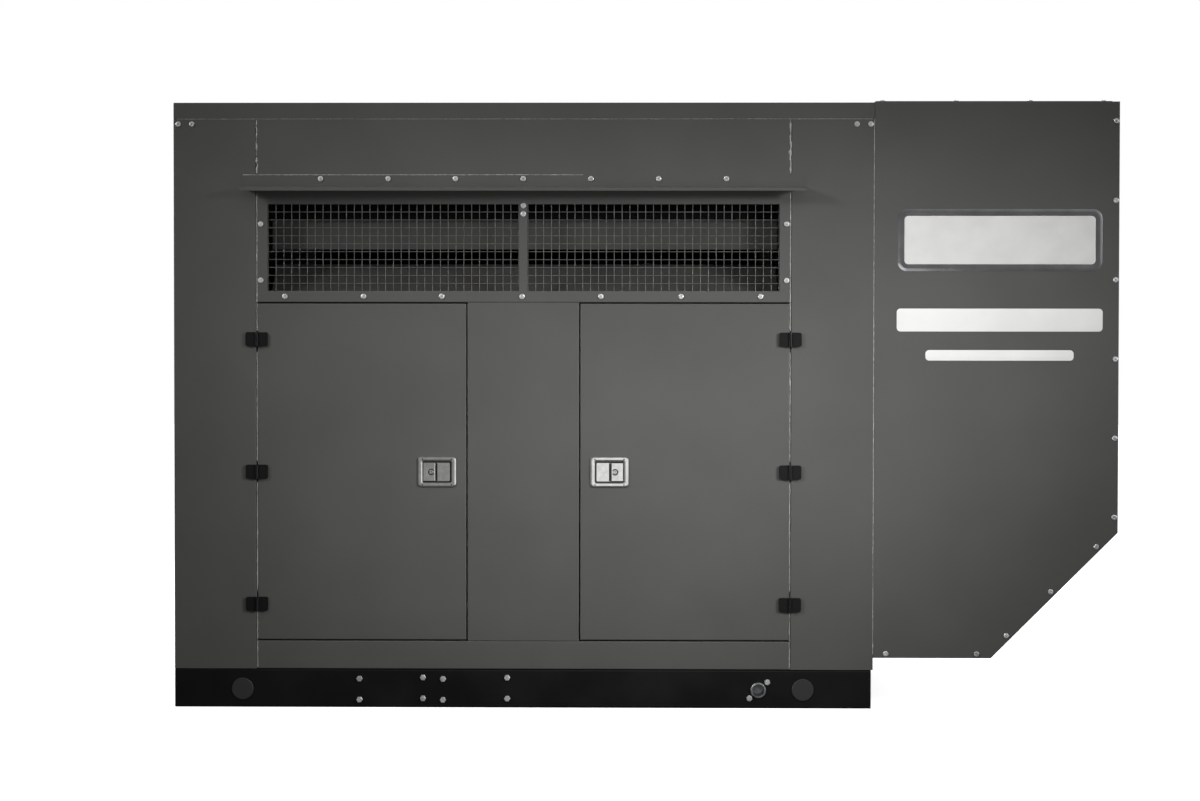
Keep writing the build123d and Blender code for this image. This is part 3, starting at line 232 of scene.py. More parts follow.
def rounded_ring(width, height, corner, points):
    """Rounded rectangle centred on 0, counter-clockwise, as an array of (x, z): a quarter circle of radius
    corner at each corner of the inner rectangle."""
    quarter = np.linspace(0, pi / 2, points)
    rings = []
    for k, (sx, sz) in enumerate([(1, 1), (-1, 1), (-1, -1), (1, -1)]):
        angle = quarter + k * pi / 2
        centre = np.array([sx * (width / 2 - corner), sz * (height / 2 - corner)])
        rings.append(centre + corner * np.stack([np.cos(angle), np.sin(angle)], -1))
    return np.concatenate(rings)


def stepped_plate(name, centre, face_y, steps, points=12, hollow=False):
    """Plate facing -Y made of rings: steps is a list of (width, height, corner, proud), and each ring
    stands proud of face_y by its own amount."""
    rings = []
    for width, height, corner, proud in steps:
        flat = rounded_ring(width, height, corner, points)
        rings.append(
            np.stack([centre[0] + flat[:, 0], np.full(len(flat), face_y - proud), centre[1] + flat[:, 1]], -1)
        )
    return soften(stacked(name, rings, hollow))


def carried(name, profile, z0, z1, bevel):
    """A closed (x, y) profile carried up from z0 to z1. The first and last rings shrink towards the
    profile's middle by the bevel, which rounds the ends."""
    profile = np.asarray(profile, float)
    middle = profile.mean(axis=0)
    reach = np.linalg.norm(profile - middle, axis=1, keepdims=True)
    small = middle + (profile - middle) * (1 - bevel / np.maximum(reach, bevel * 2))
    hold = 0.0006  # a second ring next to each bevel keeps the shading of the flat faces flat
    levels = [(small, z0), (profile, z0 + bevel), (profile, z0 + bevel + hold)]
    levels += [(profile, z1 - bevel - hold), (profile, z1 - bevel), (small, z1)]
    rings = [np.column_stack([ring, np.full(len(ring), z)]) for ring, z in levels]
    return soften(stacked(name, rings))


def disc_stack(name, centre, face_y, steps, sides=32):
    """Turned piece facing -Y: steps is a list of (radius, proud of face_y)."""
    turn = np.arange(sides) * 2 * pi / sides
    rings = [
        np.stack([centre[0] + r * np.cos(turn), np.full(sides, face_y - y), centre[1] + r * np.sin(turn)], -1)
        for r, y in steps
    ]
    return soften(stacked(name, rings))


stainless, tree, shader, place = finish_of("polished_stainless_steel", "#d2d2d0", 0.16, 1.0)
mottle(tree, shader, place, "#c6c6c4", "#dadad8", 20)
# polishing lines run upright: noise drawn 75 times as long as it is wide
stretched = add(tree, "ShaderNodeMapping", [("Vector", place)], vector_type="POINT")
stretched.inputs["Scale"].default_value = (900, 900, 12)
lines = add(tree, "ShaderNodeTexNoise", [("Vector", stretched.outputs["Vector"])], Scale=1.0, Detail=2.0)
sheen_between(tree, shader, lines.outputs["Fac"], 0.10, 0.26)
lock_metal, tree, shader, place = finish_of("nickel_plated_brass", "#d4d2cc", 0.24, 1.0)
mottle(tree, shader, place, "#c8c6c0", "#dedcd6", 6)
# blackened brass for the rivets and the lock collar; on the key slot the same black is painted shade
keyway, tree, shader, place = finish_of("blackened_brass_and_painted_keyway_shade", "#141311", 0.6)
grain(tree, shader, place, 1.0, 0.02)
# black for the painted shade in the latch pocket: the ring at its mouth and the strip under the paddle's edge
latch_shade_rubber, tree, shader, place = finish_of("black_rubber_as_painted_shade", "#0d0d0d", 0.75, Specular_IOR_Level=0.2)
grain(tree, shader, place, 2.0, 0.03)

DISH_FLANGE = (0.126, 0.100)
DISH_POCKET = (0.092, 0.068)
PADDLE_SPAN = (0.004, 0.0445)  # free edge and hinged edge, from the dish's middle
PADDLE_HEIGHT = 0.060
PADDLE_ROLL = 0.0042  # radius of the rolled free edge
RIVET_OFFSET = (0.047, 0.0415)
RIVET_STEPS = [(0.0024, -0.0005), (0.0024, 0.0003), (0.0014, 0.0009)]
PLUG_STEPS = [(0.0076, -0.0120), (0.0076, 0.0012), (0.0068, 0.0021), (0.0056, 0.0021), (0.0050, 0.0012)]
PLUG_STEPS += [(0.0044, 0.0019)]
COLLAR_STEPS = [(0.0108, -0.0100), (0.0108, 0.0002), (0.0100, 0.0006), (0.0074, 0.0002)]
KEY_SLOT_STEPS = [(0.0016, 0.0080, 0.0007, -0.0008), (0.0016, 0.0080, 0.0007, 0.0001)]
for side, hand in (("left", -1), ("right", 1)):
    low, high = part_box(f"{side}_latch_dish")
    middle = facing_middle(low, high)
    face = low.y
    wide, tall = DISH_FLANGE
    pocket_w, pocket_h = DISH_POCKET
    dish = stepped_plate(
        f"{side}_latch_dish_pressing",
        middle,
        face,
        [
            (wide, tall, 0.0125, -0.0038),
            (wide, tall, 0.0125, -0.0022),
            (wide - 0.0022, tall - 0.0022, 0.0115, -0.0006),
            (wide - 0.0060, tall - 0.0060, 0.0100, 0.0),
            (pocket_w + 0.0060, pocket_h + 0.0060, 0.0070, 0.0),
            (pocket_w + 0.0026, pocket_h + 0.0026, 0.0055, -0.0007),
            (pocket_w + 0.0010, pocket_h + 0.0010, 0.0048, -0.0026),
            (pocket_w - 0.0010, pocket_h - 0.0010, 0.0040, -0.0190),
            (pocket_w - 0.0040, pocket_h - 0.0040, 0.0030, -0.0215),
            (pocket_w - 0.0090, pocket_h - 0.0090, 0.0020, -0.0220),
        ],
    )
    dress(dish, stainless, f"{side}_door")
    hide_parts(f"{side}_latch_dish")
    for k, (sx, sz) in enumerate([(-1, -1), (1, -1), (-1, 1), (1, 1)]):
        rivet_at = (middle[0] + sx * RIVET_OFFSET[0], middle[1] + sz * RIVET_OFFSET[1])
        rivet = disc_stack(f"{side}_latch_rivet_{k}", rivet_at, face, RIVET_STEPS, 16)
        dress(rivet, keyway, f"{side}_door")

    # a black ring round the mouth of the pocket and a black strip where the paddle's edge comes to rest are
    # painted shade: they stand in for the dark outline of the pocket and the shaded gap under the paddle's
    # free edge
    shade_ring = stepped_plate(
        f"{side}_latch_painted_shade_ring",
        middle,
        face,
        [
            (pocket_w + 0.0010, pocket_h + 0.0010, 0.0048, -0.0060),
            (pocket_w - 0.0002, pocket_h - 0.0002, 0.0048, -0.0016),
            (pocket_w - 0.0080, pocket_h - 0.0080, 0.0030, -0.0024),
            (pocket_w - 0.0086, pocket_h - 0.0086, 0.0028, -0.0060),
        ],
        hollow=True,
    )
    dress(shade_ring, latch_shade_rubber, f"{side}_door")
    shade_strip_x = middle[0] + hand * (PADDLE_SPAN[0] - 0.0028)
    shade_strip = stepped_plate(
        f"{side}_latch_painted_shade_strip",
        (shade_strip_x, middle[1]),
        face,
        [
            (0.0062, 0.0590, 0.0010, -0.0210),
            (0.0062, 0.0590, 0.0010, -0.0042),
            (0.0050, 0.0580, 0.0010, -0.0036),
        ],
    )
    dress(shade_strip, latch_shade_rubber, f"{side}_door")

    # the paddle is a 3 mm plate with a rolled free edge and a small return at its hinged edge
    near, far = PADDLE_SPAN
    flat = near + 2 * PADDLE_ROLL
    turns = np.linspace(-pi / 2, pi * 1.1, 14)[::-1] + pi
    rolled = [(near + PADDLE_ROLL * (1 + np.cos(t)), 0.0020 - PADDLE_ROLL * np.sin(t) * 0.9) for t in turns]
    plate = [(flat, -0.0010), (flat + 0.0006, -0.0010), (far - 0.001, -0.0010), (far, 0.0)]
    plate += [(far, 0.0140), (far - 0.002, 0.0140), (far - 0.002, 0.0030), (far - 0.004, 0.0020)]
    plate += [(flat, 0.0020)]
    profile = np.array(rolled + plate) * [hand, 1] + [middle[0], face + 0.0018]
    area = np.sum(profile[:, 0] * np.roll(profile[:, 1], -1) - np.roll(profile[:, 0], -1) * profile[:, 1])
    if area < 0:
        profile = profile[::-1]
    z_half = PADDLE_HEIGHT / 2
    paddle = carried(f"{side}_latch_paddle_plate", profile, middle[1] - z_half, middle[1] + z_half, 0.0012)
    dress(paddle, stainless, f"{side}_paddle")
    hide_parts(f"{side}_latch_paddle")

    lock_at = facing_middle(*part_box(f"{side}_latch_lock"))
    lock_face = face + 0.0008
    plug_face = disc_stack(f"{side}_latch_lock_plug", lock_at, lock_face, PLUG_STEPS)
    dress(plug_face, lock_metal, f"{side}_lock")
    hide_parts(f"{side}_latch_lock")
    collar = disc_stack(f"{side}_latch_lock_collar", lock_at, lock_face, COLLAR_STEPS)
    dress(collar, keyway, f"{side}_paddle")
    # the key slot is a black shape on the plug's face: painted shade standing in for the dark inside of the
    # keyway
    key_slot = stepped_plate(f"{side}_latch_key_slot", lock_at, face - 0.0011, KEY_SLOT_STEPS, 4)
    dress(key_slot, keyway, f"{side}_lock")

# ---------------------------------------------------------------------------------------------
# Intake screens. Woven steel wire mesh, 25.4 mm from wire to wire, cut to fit behind the frame
# and painted dark grey with it. Each wire is crimped over and under its neighbours.


def tubes(name, paths, radius, sides=6):
    """Round wires. paths is an array (wires, points, 3). Round each point stands a ring of sides points at
    radius, in the two directions across the wire's own chord; a fan closes each end."""
    count, steps, _ = paths.shape
    along = paths[:, -1] - paths[:, 0]
    along = along / np.linalg.norm(along, axis=1, keepdims=True)
    helper = np.where(np.abs(along[:, 2:3]) > 0.9, [[0.0, 1.0, 0.0]], [[0.0, 0.0, 1.0]])
    first = np.cross(along, helper)
    first /= np.linalg.norm(first, axis=1, keepdims=True)
    second = np.cross(along, first)
    turn = np.arange(sides) * 2 * pi / sides
    ring = first[:, None, :] * np.cos(turn)[None, :, None] + second[:, None, :] * np.sin(turn)[None, :, None]
    points = paths[:, :, None, :] + radius * ring[:, None, :, :]
    index = np.arange(count * steps * sides).reshape(count, steps, sides)
    a, b = index[:, :-1, :], index[:, 1:, :]
    a2, b2 = np.roll(a, -1, axis=2), np.roll(b, -1, axis=2)
    quads = np.stack([a, a2, b2, b], axis=-1).reshape(-1, 4)
    starts, ends = index[:, 0, ::-1], index[:, -1, :]
    faces = quads.tolist() + starts.tolist() + ends.tolist()
    return surface(name, points.reshape(-1, 3), faces)


WIRE_PITCH = 0.0254
WIRE_RADIUS = 0.00125


def woven(x0, x1, z0, z1, columns, rows, depth):
    """Wires of one screen in the XZ plane. An upright at column i sways in depth by the wire's radius as
    cos(pi * (z / pitch + i)), a cross wire at row j as -cos(pi * (x / pitch + j)), so they pass over and
    under in turn. Ends run a little past the last wire, behind the frame."""
    step_x, step_z = (x1 - x0) / columns, (z1 - z0) / rows
    height = np.linspace(-0.3, rows + 0.3, 4 * rows + 1)
    width = np.linspace(-0.3, columns + 0.3, 4 * columns + 1)
    i, v = np.meshgrid(np.arange(columns + 1), height, indexing="ij")
    upright = np.stack([x0 + i * step_x, depth + WIRE_RADIUS * np.cos(pi * (v + i)), z0 + v * step_z], -1)
    j, u = np.meshgrid(np.arange(rows + 1), width, indexing="ij")
    across = np.stack([x0 + u * step_x, depth - WIRE_RADIUS * np.cos(pi * (u + j)), z0 + j * step_z], -1)
    return upright, across


def joined(name, *pieces):
    """One mesh from several, points and faces stacked."""
    points, faces, start = [], [], 0
    for piece in pieces:
        mesh = piece.data
        block = np.empty(len(mesh.vertices) * 3)
        mesh.vertices.foreach_get("co", block)
        points.append(block.reshape(-1, 3))
        faces += [[v + start for v in polygon.vertices] for polygon in mesh.polygons]
        start += len(mesh.vertices)
        bpy.data.objects.remove(piece)
    return surface(name, np.concatenate(points), faces)


wire_paint, tree, shader, place = finish_of("painted_steel_wire", "#585856", 0.5)
mottle(tree, shader, place, "#4c4c4a", "#646461", 18)

low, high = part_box("grille_meshes")
COLUMNS, ROWS = 32, 11
MESH_LAP = 0.008  # how far the mesh runs on behind its frame
screen_z0, screen_z1 = low.z + MESH_LAP, high.z - MESH_LAP
middle_x = (low.x + high.x) / 2
screen_width = COLUMNS * WIRE_PITCH
bar_half = 0.0135 + 0.0015  # half the bar between two screens, and a little air
screens = []
for wall in (-1, 1):
    depth = wall * (high.y - WIRE_RADIUS * 2 - 0.0002)
    for side in (-1, 1):
        x0 = middle_x + bar_half if side > 0 else middle_x - bar_half - screen_width
        upright, across = woven(x0, x0 + screen_width, screen_z0, screen_z1, COLUMNS, ROWS, depth)
        tag = f"{'front' if wall < 0 else 'rear'}_{'right' if side > 0 else 'left'}"
        wires = tubes("uprights", upright, WIRE_RADIUS), tubes("crosses", across, WIRE_RADIUS)
        screens.append(joined(f"intake_screen_{tag}", *wires))
for screen in screens:
    dress(screen, wire_paint)
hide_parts("grille_meshes")

# ---------------------------------------------------------------------------------------------
# Discharge screen on the hood. The same woven wire, hot-dip galvanised, lies over the hole in the
# hood's top under four flat strips of sheet that are screwed down round it.
low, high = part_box("hood_discharge_grille")
STRIP_THICK = 0.002
plate_top = high.z
DISCHARGE_COLUMNS, DISCHARGE_ROWS = 26, 38
half_x, half_y = DISCHARGE_COLUMNS * WIRE_PITCH / 2, DISCHARGE_ROWS * WIRE_PITCH / 2
DISCHARGE_X = 1.1142  # middle of the hole
inner_x0, inner_x1 = DISCHARGE_X - half_x, DISCHARGE_X + half_x
wire_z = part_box("hood_front_panel")[1].z + 0.0004
standing = woven(inner_x0, inner_x1, -half_y, half_y, DISCHARGE_COLUMNS, DISCHARGE_ROWS, wire_z)
lying = [tubes("wires", wires[..., [0, 2, 1]], WIRE_RADIUS) for wires in standing]
discharge_wires = joined("discharge_screen", *lying)
dress(discharge_wires, galvanised)


def strip(name, x0, x1, y0, y1, z0, z1, edge=0.0008):
    """Flat strip with its top edges broken: the outline at z0 and just below z1, then drawn in by edge."""
    corners = np.array([[x0, y0], [x1, y0], [x1, y1], [x0, y1]])
    inner = corners + edge * np.array([[1, 1], [-1, 1], [-1, -1], [1, -1]])
    levels = [(corners, z0), (corners, z1 - edge), (inner, z1)]
    return stacked(name, [np.column_stack([ring, np.full(4, z)]) for ring, z in levels], smooth=False)


strip_z = (plate_top - STRIP_THICK, plate_top)
frame_strips = joined(
    "discharge_frame",
    strip("front", low.x, high.x, low.y, -half_y, *strip_z),
    strip("rear", low.x, high.x, half_y, high.y, *strip_z),
    strip("left", low.x, inner_x0, -half_y, half_y, *strip_z),
    strip("right", inner_x1, high.x, -half_y, half_y, *strip_z),
)
frame_strips.data.shade_flat()
dress(frame_strips, powder)
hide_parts("hood_discharge_grille")

# ---------------------------------------------------------------------------------------------
# Rail caps. A plate is welded over the open end of each base rail, so that no vermin get in, and is
# painted with the rails.
CAP_THICK, CAP_GAP, CAP_INSET, RAIL_FLANGE = 0.003, 0.006, 0.001, 0.050
low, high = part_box("base_front_rail")
caps = []
for x0 in (low.x + CAP_INSET, high.x - CAP_INSET - CAP_THICK):
    for y0 in (low.y + CAP_GAP, -low.y - RAIL_FLANGE):
        y1 = y0 + RAIL_FLANGE - CAP_GAP
        caps.append(strip("cap", x0, x0 + CAP_THICK, y0, y1, low.z + CAP_GAP, high.z - CAP_GAP, 0.0005))
rail_caps = joined("base_rail_caps", *caps)
rail_caps.data.shade_flat()
dress(rail_caps, enamel)

# ---------------------------------------------------------------------------------------------
# Baffle foam. Black open-cell polyurethane, 20 mm thick, glued to the back of the hanging baffle
# behind each screen, with a strip across the top of its face. The strip is painted shade: a black
# sheet that darkens the top of the cavity seen through the screens. The rear foam hangs past the
# edge of its baffle, so that no light comes through from the other wall.
# The baffles take a darker copy of the wall powder: painted shade for baffles that sit in the shade behind
# the screens.
baffle_paint, tree, shader, place = finish_of("powder_coat_in_shade_dark_grey", "#3e3e3c", 0.6)
mottle(tree, shader, place, "#3b3b39", "#434341", 120)
grain(tree, shader, place, 3.0, 0.06)
paint(baffle_paint, "intake_baffles")
foam, tree, shader, place = finish_of("black_acoustic_foam", "#0b0b0b", 0.95, Specular_IOR_Level=0.1)
grain(tree, shader, place, 6.0, 2.0, detail=4.0)
mottle(tree, shader, place, "#070707", "#121212", 8)
low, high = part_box("intake_baffles")
HANGING_DEPTH = 0.090  # from the outer wall to the hanging baffle
FOAM_EDGE = {"front": 1.497, "rear": 1.437}  # heights of the lower edges
FOAM_TOP = 1.660
FACING_EDGE, FACING_TOP = 1.590, 1.684
FOAM_THICK, FACING_THICK = 0.020, 0.015
FOAM_GAP, FACING_GAP, END_GAP = 0.0005, 0.003, 0.002
wall_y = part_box("front_corner_panels")[0].y


def foam_sheet(name, x0, x1, y0, y1, z0, z1, pitch=0.012, dent=0.0012):
    """Slab of foam as six-point rings every pitch along x. Each point moves out from the slab's middle line
    by dent/2 * (sin(410 x) * cos(370 z) + sin(173 x)), so that the cut faces are uneven."""
    columns = max(2, int((x1 - x0) / pitch))
    middle_z = (z0 + z1) / 2
    section = np.array([(y1, z0), (y1, middle_z), (y1, z1), (y0, z1), (y0, middle_z), (y0, z0)])
    shape = (columns + 1, len(section), 1)
    along = np.broadcast_to(np.linspace(x0, x1, columns + 1)[:, None, None], shape)
    rings = np.concatenate([along, np.broadcast_to(section, shape[:2] + (2,))], -1)
    wave = np.sin(rings[..., :1] * 410) * np.cos(rings[..., 2:] * 370) + np.sin(rings[..., :1] * 173)
    away = section - section.mean(axis=0)
    away /= np.linalg.norm(away, axis=1, keepdims=True)
    rings[..., 1:] += dent * 0.5 * wave * away
    return stacked(name, rings, smooth=False)


baffle_y = wall_y + HANGING_DEPTH
foam_x = (low.x + END_GAP, high.x - END_GAP)
for tag in ("front", "rear"):
    hung_y = (baffle_y + FOAM_GAP, baffle_y + FOAM_GAP + FOAM_THICK)
    faced_y = (baffle_y - FACING_GAP - FACING_THICK, baffle_y - FACING_GAP)
    if tag == "rear":
        hung_y, faced_y = [(-far, -near) for near, far in (hung_y, faced_y)]
    dress(foam_sheet(f"baffle_foam_{tag}", *foam_x, *hung_y, FOAM_EDGE[tag], FOAM_TOP), foam)
    # the facing strip is painted shade: black foam over the top of the baffle's face, where the frame and lip
    # cast shade
    dress(foam_sheet(f"baffle_facing_painted_shade_{tag}", *foam_x, *faced_y, FACING_EDGE, FACING_TOP), foam)

# ---------------------------------------------------------------------------------------------
# Sealant. Every seam of the wall is sealed with a hand-run bead of pale grey polyurethane: it is
# thick and uneven above the rain lip, where a finger smoothed it, and thin along the frame below.
# The beads are also painted highlight: their pale, blotchy colour stands in for light caught by the
# folded edges, and the pale lines along the eaves, the lip's top edge and the hood's edge are
# painted highlight only.
sealant_and_highlight_paint, tree, shader, place = finish_of("pale_grey_sealant_and_painted_highlight", "#a9a9a5", 0.5)
# the pale colour and its light and dark blotches are painted highlight along the edges, as well as the
# sealant's own grey
mottle(tree, shader, place, "#85857f", "#c6c6c2", 9)
grain(tree, shader, place, 5.0, 0.3)


def face_outward(piece):
    """Turns the faces of a closed piece outward."""
    shell = bmesh.new()
    shell.from_mesh(piece.data)
    bmesh.ops.recalc_face_normals(shell, faces=shell.faces)
    shell.to_mesh(piece.data)
    shell.free()
    return piece


def bead(name, start, end, radius, unevenness, seed, pitch=0.004, sides=6):
    """Bead of sealant, or a pale line of painted highlight, from start to end: six-sided rings every pitch.
    Their radius and place drift by unevenness, a share of the radius, times seeded normal noise averaged over
    three rings."""
    start, end = np.array(start, float), np.array(end, float)
    steps = max(3, int(np.linalg.norm(end - start) / pitch))
    drift = np.random.default_rng(seed).normal(size=(steps + 3, 3))
    drift = (drift[:-2] + drift[1:-1] + drift[2:]) / 3
    t = np.linspace(0, 1, steps + 1)[:, None]
    along = (end - start) / np.linalg.norm(end - start)
    across = np.cross(along, [0.0, 1.0, 0.0])
    middle = start + t * (end - start) + across * radius * unevenness * drift[:, :1]
    size = radius * (1 + unevenness * drift[:, 1:2])
    size[[0, -1]] *= 0.4
    turn = np.arange(sides) * 2 * pi / sides
    ring = across[None, :] * np.cos(turn)[:, None] + np.array([[0.0, -0.8, 0.0]]) * np.sin(turn)[:, None]
    return face_outward(stacked(name, middle[:, None, :] + size[:, None] * ring[None]))


seam_x = [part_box("left_door")[0].x - 0.0012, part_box("right_door")[1].x + 0.0012]
lip_low, lip_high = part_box("rain_lips")
roof_low, roof_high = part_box("roof_panel")
eaves = roof_low.z
hinge_low, hinge_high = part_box("hinge_frame_leaves")
HINGE_HALF, HINGE_STOP = 0.030, 0.034  # half a hinge, and where the bead stops short of its middle
hinge_z = [hinge_high.z - HINGE_HALF, (hinge_low.z + hinge_high.z) / 2, hinge_low.z + HINGE_HALF]
stops = [lip_low.z - 0.002, *[z + s * HINGE_STOP for z in hinge_z for s in (1, -1)]]
stops.append(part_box("sill_panels")[0].z + 0.004)
beads = []
for k, x in enumerate(seam_x):
    top, foot = (x, wall_y, eaves - 0.002), (x, wall_y, lip_high.z + 0.003)
    beads.append(bead("upper", foot, top, 0.0024, 0.8, 11 + k))
    for j in range(0, len(stops), 2):
        top, foot = (x, wall_y, stops[j]), (x, wall_y, stops[j + 1])
        beads.append(bead("lower", foot, top, 0.0013, 0.3, 21 + 7 * k + j))
# the line along the lip is painted highlight along its top edge, not sealant; it stops here
LIP_BEAD_END = -0.2  # the finger lifts off here
lip_y = wall_y - 0.002
beads.append(bead("lip", (lip_low.x, lip_y, lip_high.z), (LIP_BEAD_END, lip_y, lip_high.z), 0.0010, 0.15, 31))
eaves_ends = (roof_low.x + 0.01, wall_y, eaves), (roof_high.x - 0.004, wall_y, eaves)
beads.append(bead("eaves", *eaves_ends, 0.0007, 0.15, 41))
hood_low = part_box("hood_front_panel")[0]
hood_x = hood_low.x - 0.0008
beads.append(bead("hood", (hood_x, wall_y, hood_low.z + 0.01), (hood_x, wall_y, eaves), 0.0010, 0.2, 51))
seams = joined("wall_sealant_and_painted_highlight", *beads)
dress(seams, sealant_and_highlight_paint)

# ---------------------------------------------------------------------------------------------
# Nameplate and plain bars. The plate is a blank rounded pressing in bright aluminium with a raised
# rim round a white enamelled field; two plain bars of white vinyl stand where wording would be.


badge_metal, tree, shader, place = finish_of("bright_anodised_aluminium", "#cfd0d2", 0.22, 1.0)
mottle(tree, shader, place, "#c2c3c5", "#dadbdd", 60)
badge_white, tree, shader, place = finish_of("white_enamel", "#e4e4e2", 0.3)
mottle(tree, shader, place, "#e0e0de", "#e9e9e7", 80)
vinyl, tree, shader, place = finish_of("white_vinyl_film", "#f0f0ee", 0.45)
mottle(tree, shader, place, "#ececea", "#f3f3f1", 120)

low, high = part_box("hood_badge")
badge_w, badge_h = high.x - low.x, high.z - low.z
badge_at = facing_middle(low, high)
hood_face = high.y
rim = stepped_plate(
    "hood_badge_rim",
    badge_at,
    hood_face,
    [
        (badge_w, badge_h, 0.030, 0.0),
        (badge_w, badge_h, 0.030, 0.0006),
        (badge_w - 0.016, badge_h - 0.016, 0.024, 0.0019),
        (badge_w - 0.020, badge_h - 0.020, 0.022, 0.0019),
        (badge_w - 0.040, badge_h - 0.040, 0.014, 0.0008),
    ],
)
dress(rim, badge_metal)
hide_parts("hood_badge")
field = stepped_plate(
    "hood_badge_field",
    badge_at,
    hood_face,
    [
        (badge_w - 0.044, badge_h - 0.044, 0.013, 0.0008),
        (badge_w - 0.045, badge_h - 0.045, 0.0125, 0.0013),
        (badge_w - 0.047, badge_h - 0.047, 0.012, 0.0015),
    ],
)
dress(field, badge_white)
for tag, bar_w, bar_h, drop in (("upper", 0.664, 0.074, 0.258), ("lower", 0.478, 0.034, 0.372)):
    bar = stepped_plate(
        f"hood_bar_{tag}",
        (badge_at[0], badge_at[1] - drop),
        hood_face,
        [
            (bar_w, bar_h, 0.012, 0.0),
            (bar_w, bar_h, 0.012, 0.0002),
            (bar_w - 0.0006, bar_h - 0.0006, 0.0117, 0.00025),
        ],
    )
    dress(bar, vinyl)

# ---------------------------------------------------------------------------------------------
# Engine, generator and the rest inside the enclosure. They are seen with the doors open, in half
# light, so each is told from the next by how dark and how bright it is.

# sprayed over rough castings: satin, with the sand's pimples under it
engine_paint, tree, shader, place = finish_of("engine_enamel_dark_grey", "#3a3c3e", 0.4)
mottle(tree, shader, place, "#343638", "#434547", 70)
grain(tree, shader, place, 5.0, 0.15)
paint(engine_paint, "engine_block", "generator_housing")
# bare castings: a dull silver that is grainy all over
cast, tree, shader, place = finish_of("sand_cast_aluminium", "#a8aaab", 0.5, 1.0)
mottle(tree, shader, place, "#98999a", "#b6b8b9", 40)
grain(tree, shader, place, 2.5, 0.12)
paint(cast, "cylinder_heads", "radiator", "gas_regulator")
# turned and ground: even and bright
machined, tree, shader, place = finish_of("machined_steel", "#8a8a8a", 0.3, 1.0)
mottle(tree, shader, place, "#7c7c7c", "#969696", 30)
paint(machined, "crankshaft", "generator_rotor")
# the coating browns with heat in broad patches
pipe_steel, tree, shader, place = finish_of("aluminised_exhaust_steel", "#8e8a84", 0.42, 1.0)
mottle(tree, shader, place, "#7a746c", "#a09c96", 90)
paint(pipe_steel, "muffler", "exhaust_pipe")
# a leather-grained mould leaves it black with a low, broken shine
nylon, tree, shader, place = finish_of("moulded_black_nylon", "#161616", 0.5)
grain(tree, shader, place, 2.0, 0.04)
paint(nylon, "air_intake", "fan_shroud", "fan", "battery", "breaker_toggle")
# smooth stoved enamel, the one pale surface inside
cabinet, tree, shader, place = finish_of("light_grey_cabinet_enamel", "#9c9e9c", 0.4)
mottle(tree, shader, place, "#979997", "#a2a4a2", 150)
paint(cabinet, "control_box")
# gloss from a polished mould
stop_red, tree, shader, place = finish_of("red_moulded_abs", "#b01810", 0.28)
mottle(tree, shader, place, "#aa170f", "#b61a12", 12)
paint(stop_red, "stop_button")

# ---------------------------------------------------------------------------------------------
# Control cabinet front. A thin steel door with rounded corners, a dark display with four rubber
# keys under it, three indicator lamps and a yellow ring printed round the stop button.
glass, tree, shader, place = finish_of("smoked_acrylic", "#0b0d0f", 0.12)
mottle(tree, shader, place, "#0a0c0e", "#101316", 30)
yellow, tree, shader, place = finish_of("yellow_vinyl_film", "#d8b21c", 0.4)
mottle(tree, shader, place, "#d2ac18", "#dfb922", 15)
green, tree, shader, place = finish_of("green_moulded_acrylic", "#2f8f4e", 0.2)
mottle(tree, shader, place, "#2a8748", "#359a55", 4)
low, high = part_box("control_box")
cabinet_at = facing_middle(low, high)
stop_low, stop_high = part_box("stop_button")
stop_at = facing_middle(stop_low, stop_high)
ring_r = (stop_high.x - stop_low.x) / 2 + 0.012
display_at = (cabinet_at[0] + 0.075, stop_at[1] + 0.005)
BEZEL_STEPS = [(0.112, 0.076, 0.006, 0), (0.112, 0.076, 0.006, 0.003), (0.108, 0.072, 0.005, 0.004)]
WINDOW_STEPS = [(0.096, 0.060, 0.003, 0.0035), (0.096, 0.060, 0.003, 0.0043), (0.095, 0.059, 0.003, 0.0046)]
KEY_STEPS = [(0.0075, 0), (0.0075, 0.002), (0.006, 0.0032)]
LAMP_STEPS = [(0.006, 0), (0.006, 0.002), (0.005, 0.004), (0.002, 0.0052)]
KEY_PITCH, LAMP_PITCH = 0.026, 0.024
fittings = [
    ("display_bezel", stepped_plate, (display_at, low.y, BEZEL_STEPS), nylon),
    ("display_window", stepped_plate, (display_at, low.y, WINDOW_STEPS), glass),
]
for k in range(4):
    key_at = (display_at[0] + (k - 1.5) * KEY_PITCH, display_at[1] - 0.056)
    fittings.append((f"display_key_{k}", disc_stack, (key_at, low.y, KEY_STEPS, 20), rubber))
for k, tint in enumerate((green, yellow, stop_red)):
    lamp_at = (stop_at[0] + (k - 1) * LAMP_PITCH, stop_at[1] - 0.062)
    fittings.append((f"indicator_{k}", disc_stack, (lamp_at, low.y, LAMP_STEPS, 20), tint))
for tag, maker, values, finish in fittings:
    dress(maker(f"cabinet_{tag}", *values), finish)
ring_steps = [(ring_r, 0.0), (ring_r, 0.0004), (ring_r - 0.0005, 0.0006)]
dress(disc_stack("cabinet_stop_ring", stop_at, low.y, ring_steps, 40), yellow)

